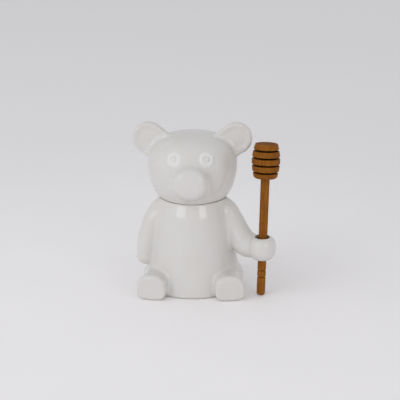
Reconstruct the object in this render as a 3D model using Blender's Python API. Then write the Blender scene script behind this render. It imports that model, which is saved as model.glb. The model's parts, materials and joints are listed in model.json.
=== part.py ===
"""A honey pot in the shape of a seated bear, with a lift-off head as its lid and a wooden dipper.

Metres, +Z up. The bear faces -Y and holds the dipper in its left paw, at +X. The origin is the
centre of the flat underside. The pot, the lid and the dipper are three loose things: the lid rests
on the neck rim, and the dipper stands through the ring-shaped paw.
"""

import math

import bmesh
import bpy
import numpy as np
from mathutils import Matrix, Vector

# Clearances
JOINT_GAP = 0.0003
COLLAR_CLEARANCE = 0.0006

# Torso: outer wall stations, from the underside up to the neck rim
BASE_EDGE = 0.0018
BASE_RADIUS = 0.0393
HIP_HEIGHT = 0.0080
HIP_RADIUS = 0.0404
FLANK_HEIGHT = 0.0165
FLANK_RADIUS = 0.0367
WAIST_HEIGHT = 0.0260
WAIST_RADIUS = 0.0345
CHEST_HEIGHT = 0.0470
CHEST_RADIUS = 0.0320
SHOULDER_HEIGHT = 0.0640
SHOULDER_RADIUS = 0.0290
NECK_HEIGHT = 0.0730
NECK_RADIUS = 0.0265
RIM_EDGE = 0.0008

# Torso: inside
WALL = 0.0042
FLOOR_THICKNESS = 0.0050
RIM_WIDTH = 0.0054
BORE_DEPTH = 0.0090

# Head, which is the lid
HEAD_HEIGHT = 0.0513
CHEEK_RISE = 0.0250
CHEEK_HALF_WIDTH = 0.0351
CHEEK_HALF_DEPTH = 0.0325
JAW_FOOT_RADIUS = 0.0254
JAW_POWER = 1.6
CROWN_POWER = 2.7
COLLAR_DEPTH = 0.0070
COLLAR_WALL = 0.0035
SEAT_THICKNESS = 0.0035
MUZZLE_RISE = 0.0188
MUZZLE_STANDOUT = 0.0090
MUZZLE_HALF_WIDTH = 0.0113
MUZZLE_HALF_HEIGHT = 0.0109
MUZZLE_FLARE = 0.0038
MUZZLE_EDGE = 0.0038
MUZZLE_POWER = 2.2
MUZZLE_ROOT_DEPTH = 0.0090
EYE_RISE = 0.0366
EYE_SPACING = 0.0251
EYE_RADIUS = 0.0048
EYE_CREST_RADIUS = 0.0041
EYE_CREST_RELIEF = 0.0009
EYE_GROOVE_RADIUS = 0.0029
EYE_GROOVE_RELIEF = 0.0004
EYE_ROOT_DEPTH = 0.0025
PUPIL_RADIUS = 0.0017
PUPIL_RELIEF = 0.0012

# Ears: dished discs on wide roots set into the head; the lean is in degrees above the level
EAR_RADIUS = 0.0124
EAR_THICKNESS = 0.0085
EAR_BACK_EDGE = 0.0034
EAR_FRONT_EDGE = 0.0020
EAR_RIM = 0.0026
EAR_DISH = 0.0012
EAR_ROOT_DEPTH = 0.0150
EAR_ROOT_HALF_WIDTH = 0.0112
EAR_LEAN = 33.0
EAR_STANDOFF = 0.0062
EAR_FORWARD = 0.0020

# Arms: both start inside the shoulder and swing forward on their way down; angles in degrees
ARM_ROOT_DEPTH = 0.0120
ARM_ROOT_RADIUS = 0.0072
SHOULDER_SINK = 0.0052
SHOULDER_ARM_RADIUS = 0.0084
SHOULDER_TURN = 12.0
UPPER_ARM_DROP = 0.0075
UPPER_ARM_STANDOFF = -0.0004
RESTING_CHEST_STANDOFF = 0.0024
HOLDING_SHOULDER_REACH = 0.0020
HOLDING_CHEST_STANDOFF = 0.0062
RESTING_ARM_RADIUS = 0.0080
RESTING_FOREARM_STANDOFF = 0.0041
RESTING_PAW_RADIUS = 0.0071
RESTING_PAW_HEIGHT = 0.0257
RESTING_PAW_STANDOFF = 0.0041
RESTING_PAW_TURN = 15.0
HOLDING_ARM_RADIUS = 0.0086
ELBOW_RADIUS = 0.0101
ELBOW_HEIGHT = 0.0402
ELBOW_STANDOFF = 0.0094
ELBOW_TURN = 18.5
HOLDING_ARM_END_RADIUS = 0.0080

# Paw ring: an upright bead with a through hole
PAW_REACH = 0.0551
PAW_FORWARD = 0.0248
PAW_HEIGHT = 0.0380
PAW_RADIUS = 0.0107
PAW_HALF_HEIGHT = 0.0101
PAW_POWER = 2.4
HOLE_RADIUS = 0.0057
HOLE_EDGE = 0.0008

# Legs: they run forward out of the torso and end in flat soles, turned outward by degrees
SOLE_FORWARD = 0.0417
SOLE_SPREAD = 0.0312
SOLE_TURN = 10.0
SOLE_HALF_WIDTH = 0.0120
SOLE_TOP = 0.0202
SOLE_TOP_POWER = 2.2
SOLE_FOOT_POWER = 3.6
SOLE_EDGE = 0.0033
SOLE_FOOT_EDGE = 0.0012
HIP_SPREAD = 0.0245
HIP_FORWARD = 0.0130
HIP_HALF_WIDTH = 0.0118
HIP_TOP = 0.0182

# Dipper: a turned, ribbed head on a tapered stick
DIPPER_LENGTH = 0.1199
DISC_COUNT = 5
DISC_THICKNESS = 0.00425
GROOVE_WIDTH = 0.0014
DIPPER_HEAD_RADIUS = 0.0109
DIPPER_END_RADIUS = 0.0086
GROOVE_CORE_RADIUS = 0.0056
DISC_EDGE = 0.0004
DIPPER_SHOULDER_EDGE = 0.0026
TENON_DEPTH = 0.0120
HANDLE_TOP_RADIUS = 0.00345
HANDLE_TIP_RADIUS = 0.0033
HANDLE_TIP_EDGE = 0.0018
HANDLE_GROOVE_HEIGHT = 0.0146
HANDLE_GROOVE_PITCH = 0.0053
HANDLE_GROOVE_COUNT = 2
HANDLE_GROOVE_WIDTH = 0.0012
HANDLE_GROOVE_DEPTH = 0.00045
TIP_FORWARD = 0.0020
TIP_INWARD = 0.0007
LEAN_SIDE = 75.0

# Colours and finishes
GLAZE = ((0.70, 0.685, 0.67), 0.12)
WOOD = ((0.32, 0.155, 0.052), 0.55)

# Fineness of the curves
TORSO_SIDES = 56
HEAD_SIDES = 56
MUZZLE_SIDES = 32
LIMB_SIDES = 24
PAW_SIDES = 32
LEG_SIDES = 28
EAR_SIDES = 32
EYE_SIDES = 16
DIPPER_SIDES = 32
ARC_STEPS = 4
CRISP_ANGLE = 40.0
CUTTER_MARGIN = 0.0100


def clear_scene():
    for obj in list(bpy.data.objects):
        bpy.data.objects.remove(obj, do_unlink=True)


def smooth_curve(points, steps):
    """Points along a curve through all the given ones, with steps points to each stretch.

    Each stretch is a cubic, and the slope at a joint is the mean of the slopes beside it,
    weighted by length. A point may carry its radius as one more coordinate.
    """
    points = np.asarray(points, float)
    lengths = np.linalg.norm(np.diff(points, axis=0), axis=1)[:, None]
    slopes = np.diff(points, axis=0) / lengths
    inner = (slopes[:-1] * lengths[1:] + slopes[1:] * lengths[:-1]) / (lengths[:-1] + lengths[1:])
    tangents = np.vstack([slopes[:1], inner, slopes[-1:]])
    t = np.linspace(0.0, 1.0, steps, endpoint=False)[:, None]
    curve = []
    for i, length in enumerate(lengths[:, 0]):
        curve.append(
            (2 * t**3 - 3 * t**2 + 1) * points[i]
            + (t**3 - 2 * t**2 + t) * length * tangents[i]
            + (3 * t**2 - 2 * t**3) * points[i + 1]
            + (t**3 - t**2) * length * tangents[i + 1]
        )
    return np.vstack(curve + [points[-1:]])


def arc(centre, radius, start, end, steps=ARC_STEPS):
    """Points (r, z) on an arc, with its angles in degrees from +r towards +z."""
    angles = np.radians(np.linspace(start, end, steps + 1))
    return [(centre[0] + radius * math.cos(a), centre[1] + radius * math.sin(a)) for a in angles]


def superellipse(angles, power):
    """Unit points on |x|^power + |y|^power = 1, at the given angles; each may have its own power."""
    x, y = np.cos(angles), np.sin(angles)
    scale = (np.abs(x) ** power + np.abs(y) ** power) ** (-1.0 / power)
    return np.column_stack([x * scale, y * scale])


def new_object(name, bm):
    """An object made of a closed bmesh, shaded smooth except at its crisp edges."""
    bmesh.ops.recalc_face_normals(bm, faces=bm.faces)
    mesh = bpy.data.meshes.new(name)
    bm.to_mesh(mesh)
    bm.free()
    mesh.shade_smooth()
    mesh.set_sharp_from_angle(angle=math.radians(CRISP_ANGLE))
    obj = bpy.data.objects.new(name, mesh)
    bpy.context.scene.collection.objects.link(obj)
    return obj


def turned(name, profile, sides):
    """A solid turned about Z from (r, z) points that start and end on the axis or meet in a loop."""
    bm = bmesh.new()
    verts = [bm.verts.new((r, 0.0, z)) for r, z in profile]
    edges = [bm.edges.new(pair) for pair in zip(verts, verts[1:])]
    if profile[0][0] > 0.0:
        edges.append(bm.edges.new((verts[-1], verts[0])))
    bmesh.ops.spin(
        bm,
        geom=verts + edges,
        cent=(0.0, 0.0, 0.0),
        axis=(0.0, 0.0, 1.0),
        angle=2 * math.pi,
        steps=sides,
        use_merge=True,
    )
    bmesh.ops.remove_doubles(bm, verts=bm.verts, dist=1e-6)
    return new_object(name, bm)


def lofted(name, rings):
    """A solid skinned over rings of points; a ring of one point closes an end to a pole."""
    bm = bmesh.new()
    loops = [[bm.verts.new(point) for point in ring] for ring in rings]
    for lower, upper in zip(loops, loops[1:]):
        sides = max(len(lower), len(upper))
        for i in range(sides):
            j = (i + 1) % sides
            if len(lower) == 1:
                bm.faces.new((lower[0], upper[j], upper[i]))
            elif len(upper) == 1:
                bm.faces.new((lower[i], lower[j], upper[0]))
            else:
                bm.faces.new((lower[i], lower[j], upper[j], upper[i]))
    if len(loops[0]) > 1:
        bm.faces.new(loops[0][::-1])
    if len(loops[-1]) > 1:
        bm.faces.new(loops[-1])
    return new_object(name, bm)


def swept(name, path, sides, round_end):
    """A limb of round section along (x, y, z, radius) points, with a flat or a domed far end."""
    centres, radii = path[:, :3], path[:, 3]
    travelled = np.append(0.0, np.cumsum(np.linalg.norm(np.diff(centres, axis=0), axis=1)))
    along = np.gradient(centres, travelled, axis=0)
    along /= np.linalg.norm(along, axis=1)[:, None]
    side = np.cross(along, (0.0, 1.0, 0.0))
    side /= np.linalg.norm(side, axis=1)[:, None]
    other = np.cross(along, side)
    turns = np.linspace(0.0, 2 * math.pi, sides, endpoint=False)[:, None]

    def ring(i, radius, ahead):
        spoke = np.cos(turns) * side[i] + np.sin(turns) * other[i]
        return centres[i] + along[i] * ahead + spoke * radius

    rings = [ring(i, radii[i], 0.0) for i in range(len(path))]
    if round_end:
        for tilt in np.radians(np.linspace(0.0, 90.0, ARC_STEPS + 2))[1:-1]:
            rings.append(ring(-1, radii[-1] * math.cos(tilt), radii[-1] * math.sin(tilt)))
        rings.append([centres[-1] + along[-1] * radii[-1]])
    return lofted(name, rings)


def as_cutter(obj):
    obj.hide_render = True
    obj.display_type = "WIRE"
    return obj


def boolean(obj, operation, other):
    modifier = obj.modifiers.new(f"{operation.lower()} {other.name}", "BOOLEAN")
    modifier.operation = operation
    modifier.solver = "EXACT"
    modifier.object = other


def settle(obj):
    """Applies the object's cuts and joins, and finds its crisp edges again."""
    bpy.context.view_layer.update()
    evaluated = obj.evaluated_get(bpy.context.evaluated_depsgraph_get())
    mesh = bpy.data.meshes.new_from_object(evaluated)
    obj.modifiers.clear()
    obj.data = mesh
    mesh.shade_smooth()
    mesh.set_sharp_from_angle(angle=math.radians(CRISP_ANGLE))


def finish(obj, look):
    """Settles the object's shape and gives it its own material, of this colour and roughness."""
    settle(obj)
    colour, roughness = look
    material = bpy.data.materials.new(obj.name)
    material.use_nodes = True
    shader = material.node_tree.nodes["Principled BSDF"]
    shader.inputs["Base Color"].default_value = (*colour, 1.0)
    shader.inputs["Roughness"].default_value = roughness
    shader.inputs["Metallic"].default_value = 0.0
    obj.data.materials.append(material)
    return obj


def empty_at(name, location, rotation=None):
    """An empty on a joint's axis, which carries the pieces that move along it."""
    empty = bpy.data.objects.new(name, None)
    bpy.context.scene.collection.objects.link(empty)
    empty.matrix_world = Matrix.Translation(location) @ (rotation or Matrix())
    return empty


def carry(empty, obj):
    """Parents a piece that was modelled in world space, so that it stays where it is."""
    obj.parent = empty
    obj.matrix_parent_inverse = empty.matrix_world.inverted()


# Torso


def torso_wall(steps=2):
    """(r, z) points up the outside of the torso, from the hip edge to the neck."""
    return smooth_curve(
        [
            (BASE_RADIUS, BASE_EDGE),
            (HIP_RADIUS, HIP_HEIGHT),
            (FLANK_RADIUS, FLANK_HEIGHT),
            (WAIST_RADIUS, WAIST_HEIGHT),
            (CHEST_RADIUS, CHEST_HEIGHT),
            (SHOULDER_RADIUS, SHOULDER_HEIGHT),
            (NECK_RADIUS, NECK_HEIGHT - RIM_EDGE),
        ],
        steps,
    )


def torso_radius(height):
    wall = torso_wall(8)
    return float(np.interp(height, wall[:, 1], wall[:, 0]))


def on_torso(side, forward, height, standoff):
    """The point this far out from the torso's wall, turned forward from its side by degrees."""
    turn = math.radians(forward)
    reach = torso_radius(height) + standoff
    return (side * reach * math.cos(turn), -reach * math.sin(turn), height)


def torso_outline():
    """The outside of the torso from the middle of the underside to the neck edge."""
    edge = arc((BASE_RADIUS - BASE_EDGE, BASE_EDGE), BASE_EDGE, -90, 0)
    rim = arc((NECK_RADIUS - RIM_EDGE, NECK_HEIGHT - RIM_EDGE), RIM_EDGE, 0, 90, 2)
    return [(0.0, 0.0)] + edge + [tuple(p) for p in torso_wall()[1:-1]] + rim


def bore_radius():
    return NECK_RADIUS - RIM_WIDTH


def make_pot_body():
    bore = bore_radius()
    bore_foot = NECK_HEIGHT - BORE_DEPTH
    inner_rim = arc((bore + RIM_EDGE, NECK_HEIGHT - RIM_EDGE), RIM_EDGE, 90, 180, 2)
    corner = BASE_EDGE + WALL
    heights = np.linspace(bore_foot - WALL, FLOOR_THICKNESS + corner, 6)
    cavity = [(torso_radius(height) - WALL, height) for height in heights]
    floor_corner = arc(
        (torso_radius(FLOOR_THICKNESS + corner) - WALL - corner, FLOOR_THICKNESS + corner),
        corner,
        0,
        -90,
    )
    inside = [(bore, bore_foot)] + cavity + floor_corner[1:] + [(0.0, FLOOR_THICKNESS)]
    return turned("pot_body", torso_outline() + inner_rim + inside, TORSO_SIDES)


def make_torso_cutter():
    """The torso filled solid and larger by the joint gap, with a post that keeps the lid's way clear."""
    outline = np.array(torso_outline())
    along = np.gradient(outline, axis=0)
    out = np.column_stack([along[:, 1], -along[:, 0]])
    out /= np.linalg.norm(out, axis=1)[:, None]
    grown = outline + out * JOINT_GAP
    grown[0] = (0.0, -JOINT_GAP)
    post = NECK_RADIUS + JOINT_GAP
    top = NECK_HEIGHT + HEAD_HEIGHT
    profile = [tuple(p) for p in grown[:-2]] + [(post, NECK_HEIGHT), (post, top), (0.0, top)]
    return as_cutter(turned("torso_cutter", profile, TORSO_SIDES))


# Head


def seat_height():
    return NECK_HEIGHT + JOINT_GAP


def cheek_height():
    return seat_height() + CHEEK_RISE


def head_scale(height):
    """The head's girth at a height: 0 at the foot of the jaw, 1 at the cheeks."""
    drop = (cheek_height() - height) / CHEEK_RISE
    return (1.0 - np.clip(drop, 0.0, 1.0) ** JAW_POWER) ** (1.0 / JAW_POWER)


def head_half(height, widest):
    """Half the head's width or depth at a height, below the cheeks or above them."""
    rise = (height - cheek_height()) / (HEAD_HEIGHT - CHEEK_RISE)
    crown = (1.0 - np.clip(rise, 0.0, 1.0) ** CROWN_POWER) ** (1.0 / CROWN_POWER)
    jaw = JAW_FOOT_RADIUS + (widest - JAW_FOOT_RADIUS) * head_scale(height)
    return np.where(rise > 0.0, widest * crown, jaw)


def face_depth(x, height):
    """How far forward of the axis the face lies at this x and height."""
    half_x = head_half(height, CHEEK_HALF_WIDTH)
    return head_half(height, CHEEK_HALF_DEPTH) * np.sqrt(1.0 - (x / half_x) ** 2)


def face_point(x, height):
    """The point on the face at this x and height, and the way out from it."""
    y = -float(face_depth(x, height))

    def level(px, py, pz):
        half_w = float(head_half(pz, CHEEK_HALF_WIDTH))
        half_d = float(head_half(pz, CHEEK_HALF_DEPTH))
        return (px / half_w) ** 2 + (py / half_d) ** 2

    step = 1e-4
    slope = Vector(
        (
            level(x + step, y, height) - level(x - step, y, height),
            level(x, y + step, height) - level(x, y - step, height),
            level(x, y, height + step) - level(x, y, height - step),
        )
    )
    return Vector((x, y, height)), slope.normalized()


def ellipse_ring(half_x, half_y, height, sides):
    turns = np.linspace(0.0, 2 * math.pi, sides, endpoint=False)
    return np.column_stack([half_x * np.cos(turns), half_y * np.sin(turns), np.full(sides, height)])


def head_rings(inset, sides):
    """Rings up the head from its jaw to its crown, moved in from the outside by the inset."""
    low, middle = seat_height(), cheek_height()
    top = seat_height() + HEAD_HEIGHT
    tilts = np.radians(np.linspace(0.0, 90.0, 9))
    rings = []
    for height in np.linspace(low + 3 * RIM_EDGE, middle, 7)[:-1]:
        half_x = float(head_half(height, CHEEK_HALF_WIDTH))
        half_y = float(head_half(height, CHEEK_HALF_DEPTH))
        rings.append(ellipse_ring(half_x - inset, half_y - inset, height, sides))
    for across, up in superellipse(tilts, CROWN_POWER)[:-1]:
        height = middle + up * (top - middle - inset)
        half_x = (CHEEK_HALF_WIDTH - inset) * across
        half_y = (CHEEK_HALF_DEPTH - inset) * across
        rings.append(ellipse_ring(half_x, half_y, height, sides))
    rings.append([(0.0, 0.0, top - inset)])
    return rings


def collar_radius():
    return bore_radius() - COLLAR_CLEARANCE


def make_head_solid(name, grow):
    """The head without its hollow, larger all round by grow, with its collar below the seat."""
    seat = seat_height()
    sides = HEAD_SIDES
    if grow:
        start = [ellipse_ring(JAW_FOOT_RADIUS + grow, JAW_FOOT_RADIUS + grow, seat - grow, sides)]
    else:
        collar = collar_radius()
        start = [ellipse_ring(collar - RIM_EDGE, collar - RIM_EDGE, seat - COLLAR_DEPTH, sides)]
        start.append(ellipse_ring(collar, collar, seat - COLLAR_DEPTH + RIM_EDGE, sides))
        start.append(ellipse_ring(collar, collar, seat, sides))
        edge = arc((JAW_FOOT_RADIUS - RIM_EDGE, seat + RIM_EDGE), RIM_EDGE, -90, 0, 2)
        start += [ellipse_ring(r, r, z, sides) for r, z in edge]
    return lofted(name, start + head_rings(-grow, sides))


def make_head_cavity():
    """The hollow of the lid: up through the collar, then a wall's thickness inside the head."""
    inner = collar_radius() - COLLAR_WALL
    seat = seat_height()
    bottom = seat - COLLAR_DEPTH - CUTTER_MARGIN
    rings = [ellipse_ring(inner, inner, height, HEAD_SIDES) for height in (bottom, seat + SEAT_THICKNESS)]
    inside = [ring for ring in head_rings(WALL, HEAD_SIDES) if ring[0][2] > seat + SEAT_THICKNESS + WALL]
    return as_cutter(lofted("head_cavity", rings + inside))


def make_muzzle():
    """The snout: a soft cone that flows out of the face and ends in a flat disc with a round edge.

    Its extra width falls off as the square of what is left of the way from the face to the disc's
    edge, so the cone starts broad on the face, whose curve its first rings follow, and ends straight.
    """
    height = seat_height() + MUZZLE_RISE
    front = float(face_depth(0.0, height)) + MUZZLE_STANDOUT
    turns = np.linspace(0.0, 2 * math.pi, MUZZLE_SIDES, endpoint=False)
    unit = superellipse(turns, MUZZLE_POWER)

    def outline(spread):
        return unit[:, 0] * (MUZZLE_HALF_WIDTH + spread), height + unit[:, 1] * (MUZZLE_HALF_HEIGHT + spread)

    x, z = outline(MUZZLE_FLARE)
    root = front - MUZZLE_STANDOUT - MUZZLE_ROOT_DEPTH
    rings = [np.column_stack([x, np.full(len(x), -root), z])]
    for way in np.linspace(-0.15, 1.0, 7):
        x, z = outline(MUZZLE_FLARE * (1.0 - way) ** 2)
        face = face_depth(x, z)
        rings.append(np.column_stack([x, -face - (front - MUZZLE_EDGE - face) * way, z]))
    for spread, reach in arc((-MUZZLE_EDGE, front - MUZZLE_EDGE), MUZZLE_EDGE, 0, 90, 3)[1:]:
        x, z = outline(spread)
        rings.append(np.column_stack([x, np.full(len(x), -reach), z]))
    return as_cutter(lofted("muzzle", rings))


def make_eye(name, x):
    """A raised ring with a domed pupil, set square to the face."""
    point, out = face_point(x, seat_height() + EYE_RISE)
    profile = [
        (0.0, -EYE_ROOT_DEPTH),
        (EYE_RADIUS, -EYE_ROOT_DEPTH),
        (EYE_RADIUS, EYE_GROOVE_RELIEF),
        (EYE_CREST_RADIUS, EYE_CREST_RELIEF),
        (EYE_GROOVE_RADIUS, EYE_GROOVE_RELIEF),
        (PUPIL_RADIUS, EYE_GROOVE_RELIEF),
        (PUPIL_RADIUS / 2, PUPIL_RELIEF),
        (0.0, PUPIL_RELIEF),
    ]
    eye = as_cutter(turned(name, profile, EYE_SIDES))
    eye.rotation_euler = out.to_track_quat("Z", "Y").to_euler()
    eye.location = point
    return eye


def ear_outline(inset, turn):
    """The outline of a disc and its tapered root, moved in by the inset and turned to point outward.

    From each corner of the root, a straight side runs to where it touches the disc.
    """
    radius = EAR_RADIUS - inset
    root_x = inset - EAR_ROOT_DEPTH
    root_y = EAR_ROOT_HALF_WIDTH - inset
    touch = math.atan2(root_y, root_x) - math.acos(radius / math.hypot(root_x, root_y))
    angles = np.linspace(-touch, touch, EAR_SIDES + 1)
    x = np.append(radius * np.cos(angles), [root_x, root_x])
    y = np.append(radius * np.sin(angles), [root_y, -root_y])
    return x * math.cos(turn) - y * math.sin(turn), x * math.sin(turn) + y * math.cos(turn)


def make_ear(name, side, head_cutter):
    """A round ear, dished in front, whose root is cut where it meets the head."""
    lean = math.radians(EAR_LEAN)
    rise = HEAD_HEIGHT - CHEEK_RISE
    across = math.cos(lean) / CHEEK_HALF_WIDTH
    up = math.sin(lean) / rise
    reach = (across**CROWN_POWER + up**CROWN_POWER) ** (-1.0 / CROWN_POWER) + EAR_STANDOFF
    half = EAR_THICKNESS / 2
    back = arc((-EAR_BACK_EDGE, EAR_BACK_EDGE - half), EAR_BACK_EDGE, -90, 0, 3)
    front = arc((-EAR_FRONT_EDGE, half - EAR_FRONT_EDGE), EAR_FRONT_EDGE, 0, 90, 3)
    dish = [(-EAR_RIM, half - EAR_DISH / 2), (-EAR_RIM - EAR_DISH / 2, half - EAR_DISH)]
    rings = []
    for inset, height in back + front + dish:
        x, y = ear_outline(-inset, lean if side > 0.0 else math.pi - lean)
        rings.append(np.column_stack([x, y, np.full(len(x), height)]))
    ear = lofted(name, rings)
    ear.rotation_euler = (math.radians(90), 0.0, 0.0)
    ear.location = (side * reach * math.cos(lean), -EAR_FORWARD, cheek_height() + reach * math.sin(lean))
    boolean(ear, "DIFFERENCE", head_cutter)
    return ear


# Limbs


def arm_turn(height, end_height, end_turn):
    """How far forward of the side an arm lies at a height, from the shoulder down to its end."""
    share = (SHOULDER_HEIGHT - height) / (SHOULDER_HEIGHT - end_height)
    return SHOULDER_TURN + (end_turn - SHOULDER_TURN) * share


def shoulder_path(side, reach, chest_standoff, radius, end_height, end_turn):
    """The upper stretch of an arm, from inside the torso down to the chest, as points with radii.

    The reach is how much further out than usual the shoulder lies.
    """
    stations = [
        (SHOULDER_HEIGHT, -ARM_ROOT_DEPTH, ARM_ROOT_RADIUS),
        (SHOULDER_HEIGHT, reach - SHOULDER_SINK, SHOULDER_ARM_RADIUS),
        (SHOULDER_HEIGHT - UPPER_ARM_DROP, reach + UPPER_ARM_STANDOFF, SHOULDER_ARM_RADIUS),
        (CHEST_HEIGHT, chest_standoff, radius),
    ]
    path = []
    for height, standoff, girth in stations:
        turn = arm_turn(height, end_height, end_turn)
        path.append((*on_torso(side, turn, height, standoff), girth))
    return path


def make_resting_arm(torso_cutter, leg_cutter):
    radius = RESTING_ARM_RADIUS
    path = shoulder_path(-1.0, 0.0, RESTING_CHEST_STANDOFF, radius, RESTING_PAW_HEIGHT, RESTING_PAW_TURN)
    forearm_height = (CHEST_HEIGHT + RESTING_PAW_HEIGHT) / 2
    forearm_turn = arm_turn(forearm_height, RESTING_PAW_HEIGHT, RESTING_PAW_TURN)
    forearm = on_torso(-1.0, forearm_turn, forearm_height, RESTING_FOREARM_STANDOFF)
    paw = on_torso(-1.0, RESTING_PAW_TURN, RESTING_PAW_HEIGHT, RESTING_PAW_STANDOFF)
    path += [(*forearm, radius), (*paw, RESTING_PAW_RADIUS)]
    arm = swept("resting_arm", smooth_curve(path, 4), LIMB_SIDES, round_end=True)
    boolean(arm, "DIFFERENCE", torso_cutter)
    boolean(arm, "DIFFERENCE", leg_cutter)
    return arm


def paw_centre():
    return Vector((PAW_REACH, -PAW_FORWARD, PAW_HEIGHT))


def elbow_point():
    return Vector(on_torso(1.0, ELBOW_TURN, ELBOW_HEIGHT, ELBOW_STANDOFF))


def make_holding_arm(torso_cutter, paw_cutter):
    """The arm runs on into the paw's bead, which cuts its end to a cup."""
    reach, radius = HOLDING_SHOULDER_REACH, HOLDING_ARM_RADIUS
    path = shoulder_path(1.0, reach, HOLDING_CHEST_STANDOFF, radius, ELBOW_HEIGHT, ELBOW_TURN)
    path += [(*elbow_point(), ELBOW_RADIUS), (*paw_centre(), HOLDING_ARM_END_RADIUS)]
    arm = swept("holding_arm", smooth_curve(path, 4), LIMB_SIDES, round_end=False)
    boolean(arm, "DIFFERENCE", torso_cutter)
    boolean(arm, "DIFFERENCE", paw_cutter)
    return arm


def bead_radius(height):
    """The bead's radius at a height from its middle, for a height or an array of them."""
    share = np.abs(height) / PAW_HALF_HEIGHT
    return PAW_RADIUS * (1.0 - share**PAW_POWER) ** (1.0 / PAW_POWER)


def hole_half_length():
    """Half the height of the bead where its rounded hole edge begins."""
    across = (HOLE_RADIUS + HOLE_EDGE) / PAW_RADIUS
    return PAW_HALF_HEIGHT * (1.0 - across**PAW_POWER) ** (1.0 / PAW_POWER)


def make_paw_ring():
    """An upright bead with the dipper's hole through it, its edges rounded."""
    top = hole_half_length()
    heights = top * np.sin(np.radians(np.linspace(-90.0, 90.0, 11)))
    outside = [(float(bead_radius(height)), height) for height in heights]
    upper = arc((HOLE_RADIUS + HOLE_EDGE, top - HOLE_EDGE), HOLE_EDGE, 90, 180, 3)
    lower = [(r, -z) for r, z in upper[::-1]]
    bead = turned("paw_ring", outside + upper[1:] + lower[:-1], PAW_SIDES)
    bead.location = paw_centre()
    return bead


def make_paw_cutter():
    """The bead without its hole, larger all round by the joint gap."""
    tilts = np.radians(np.linspace(-90.0, 90.0, 13))
    profile = [
        (across * (PAW_RADIUS + JOINT_GAP), up * (PAW_HALF_HEIGHT + JOINT_GAP))
        for across, up in superellipse(tilts, PAW_POWER)[1:-1]
    ]
    reach = PAW_HALF_HEIGHT + JOINT_GAP
    cutter = as_cutter(turned("paw_cutter", [(0.0, -reach)] + profile + [(0.0, reach)], PAW_SIDES))
    cutter.location = paw_centre()
    return cutter


def leg_rings(side, grow):
    """Sections of a leg from inside the hip to its flat sole, arched above and flat on the ground.

    They face straight ahead at the hip and have turned outward by the ankle.
    """
    turns = np.linspace(0.0, 2 * math.pi, LEG_SIDES, endpoint=False)
    upper = np.sin(turns) > 0.0
    unit = superellipse(turns, np.where(upper, SOLE_TOP_POWER, SOLE_FOOT_POWER))
    edge_start = SOLE_FORWARD - SOLE_EDGE
    slant = math.tan(math.radians(SOLE_TURN))
    hip = (HIP_SPREAD, HIP_FORWARD, HIP_HALF_WIDTH, HIP_TOP, 0.0, 0.0)
    ankle = (SOLE_SPREAD, edge_start, SOLE_HALF_WIDTH, SOLE_TOP, slant, 0.0)
    stations = list(np.linspace(hip, ankle, 4))
    for inset, ahead in arc((SOLE_EDGE, 0.0), SOLE_EDGE, 180, 90)[1:]:
        stations.append((SOLE_SPREAD, edge_start + ahead, SOLE_HALF_WIDTH, SOLE_TOP, slant, inset))
    rings = []
    for spread, forward, half_width, top, slope, inset in stations:
        out = unit[:, 0] * (half_width + grow - inset)
        z_inset = np.where(upper, inset, inset * SOLE_FOOT_EDGE / SOLE_EDGE)
        z = top / 2 + unit[:, 1] * (top / 2 + grow - z_inset)
        rings.append(np.column_stack([side * (spread + out), out * slope - forward - grow, z]))
    return rings


def make_leg(name, side, torso_cutter):
    leg = lofted(name, leg_rings(side, 0.0))
    boolean(leg, "DIFFERENCE", torso_cutter)
    return leg


# Dipper


def hole_top():
    """The height at which the stick rests on the hole's upper edge."""
    return PAW_HEIGHT + hole_half_length() - HOLE_EDGE


def handle_radius(length):
    """The stick's radius at a length from its tip."""
    top = DIPPER_LENGTH - head_length()
    return HANDLE_TIP_RADIUS + (HANDLE_TOP_RADIUS - HANDLE_TIP_RADIUS) * min(length / top, 1.0)


def head_length():
    return DISC_COUNT * DISC_THICKNESS + (DISC_COUNT - 1) * GROOVE_WIDTH


def dipper_axis():
    """The dipper's tip on the ground and its direction: it leans on the hole's upper edge."""
    slack = HOLE_RADIUS - handle_radius(hole_top()) - JOINT_GAP
    side = math.radians(LEAN_SIDE)
    hole = Vector((PAW_REACH, -PAW_FORWARD, hole_top()))
    tip = Vector((PAW_REACH - TIP_INWARD, -PAW_FORWARD - TIP_FORWARD, 0.0))
    rest = hole + Vector((math.cos(side), math.sin(side), 0.0)) * slack
    return tip, (rest - tip).normalized()


def barrel_radius(length):
    """The ribbed head's outer radius at a length from the tip, fullest in its middle."""
    half = head_length() / 2
    off = (length - (DIPPER_LENGTH - half)) / half
    return DIPPER_HEAD_RADIUS - (DIPPER_HEAD_RADIUS - DIPPER_END_RADIUS) * off**2


def disc_outline(low, high):
    """One disc's rim between two lengths, with its edges eased."""
    return [
        (barrel_radius(low) - DISC_EDGE, low),
        (barrel_radius(low + DISC_EDGE), low + DISC_EDGE),
        (barrel_radius(high - DISC_EDGE), high - DISC_EDGE),
        (barrel_radius(high) - DISC_EDGE, high),
    ]


def make_dipper_head():
    """Discs along a core, the lowest with a rounded underside, bored for the stick's tenon."""
    start = DIPPER_LENGTH - head_length()
    bore = handle_radius(start) + JOINT_GAP
    bore_end = start + TENON_DEPTH + JOINT_GAP
    edge = DIPPER_SHOULDER_EDGE
    profile = [(0.0, bore_end), (bore, bore_end), (bore, start)]
    profile += arc((barrel_radius(start + edge) - edge, start + edge), edge, -90, 0)
    profile += disc_outline(start, start + DISC_THICKNESS)[2:]
    for i in range(1, DISC_COUNT):
        low = start + i * (DISC_THICKNESS + GROOVE_WIDTH)
        profile += [(GROOVE_CORE_RADIUS, low - GROOVE_WIDTH), (GROOVE_CORE_RADIUS, low)]
        profile += disc_outline(low, low + DISC_THICKNESS)
    profile.append((0.0, DIPPER_LENGTH))
    return turned("dipper_head", profile, DIPPER_SIDES)


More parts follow.
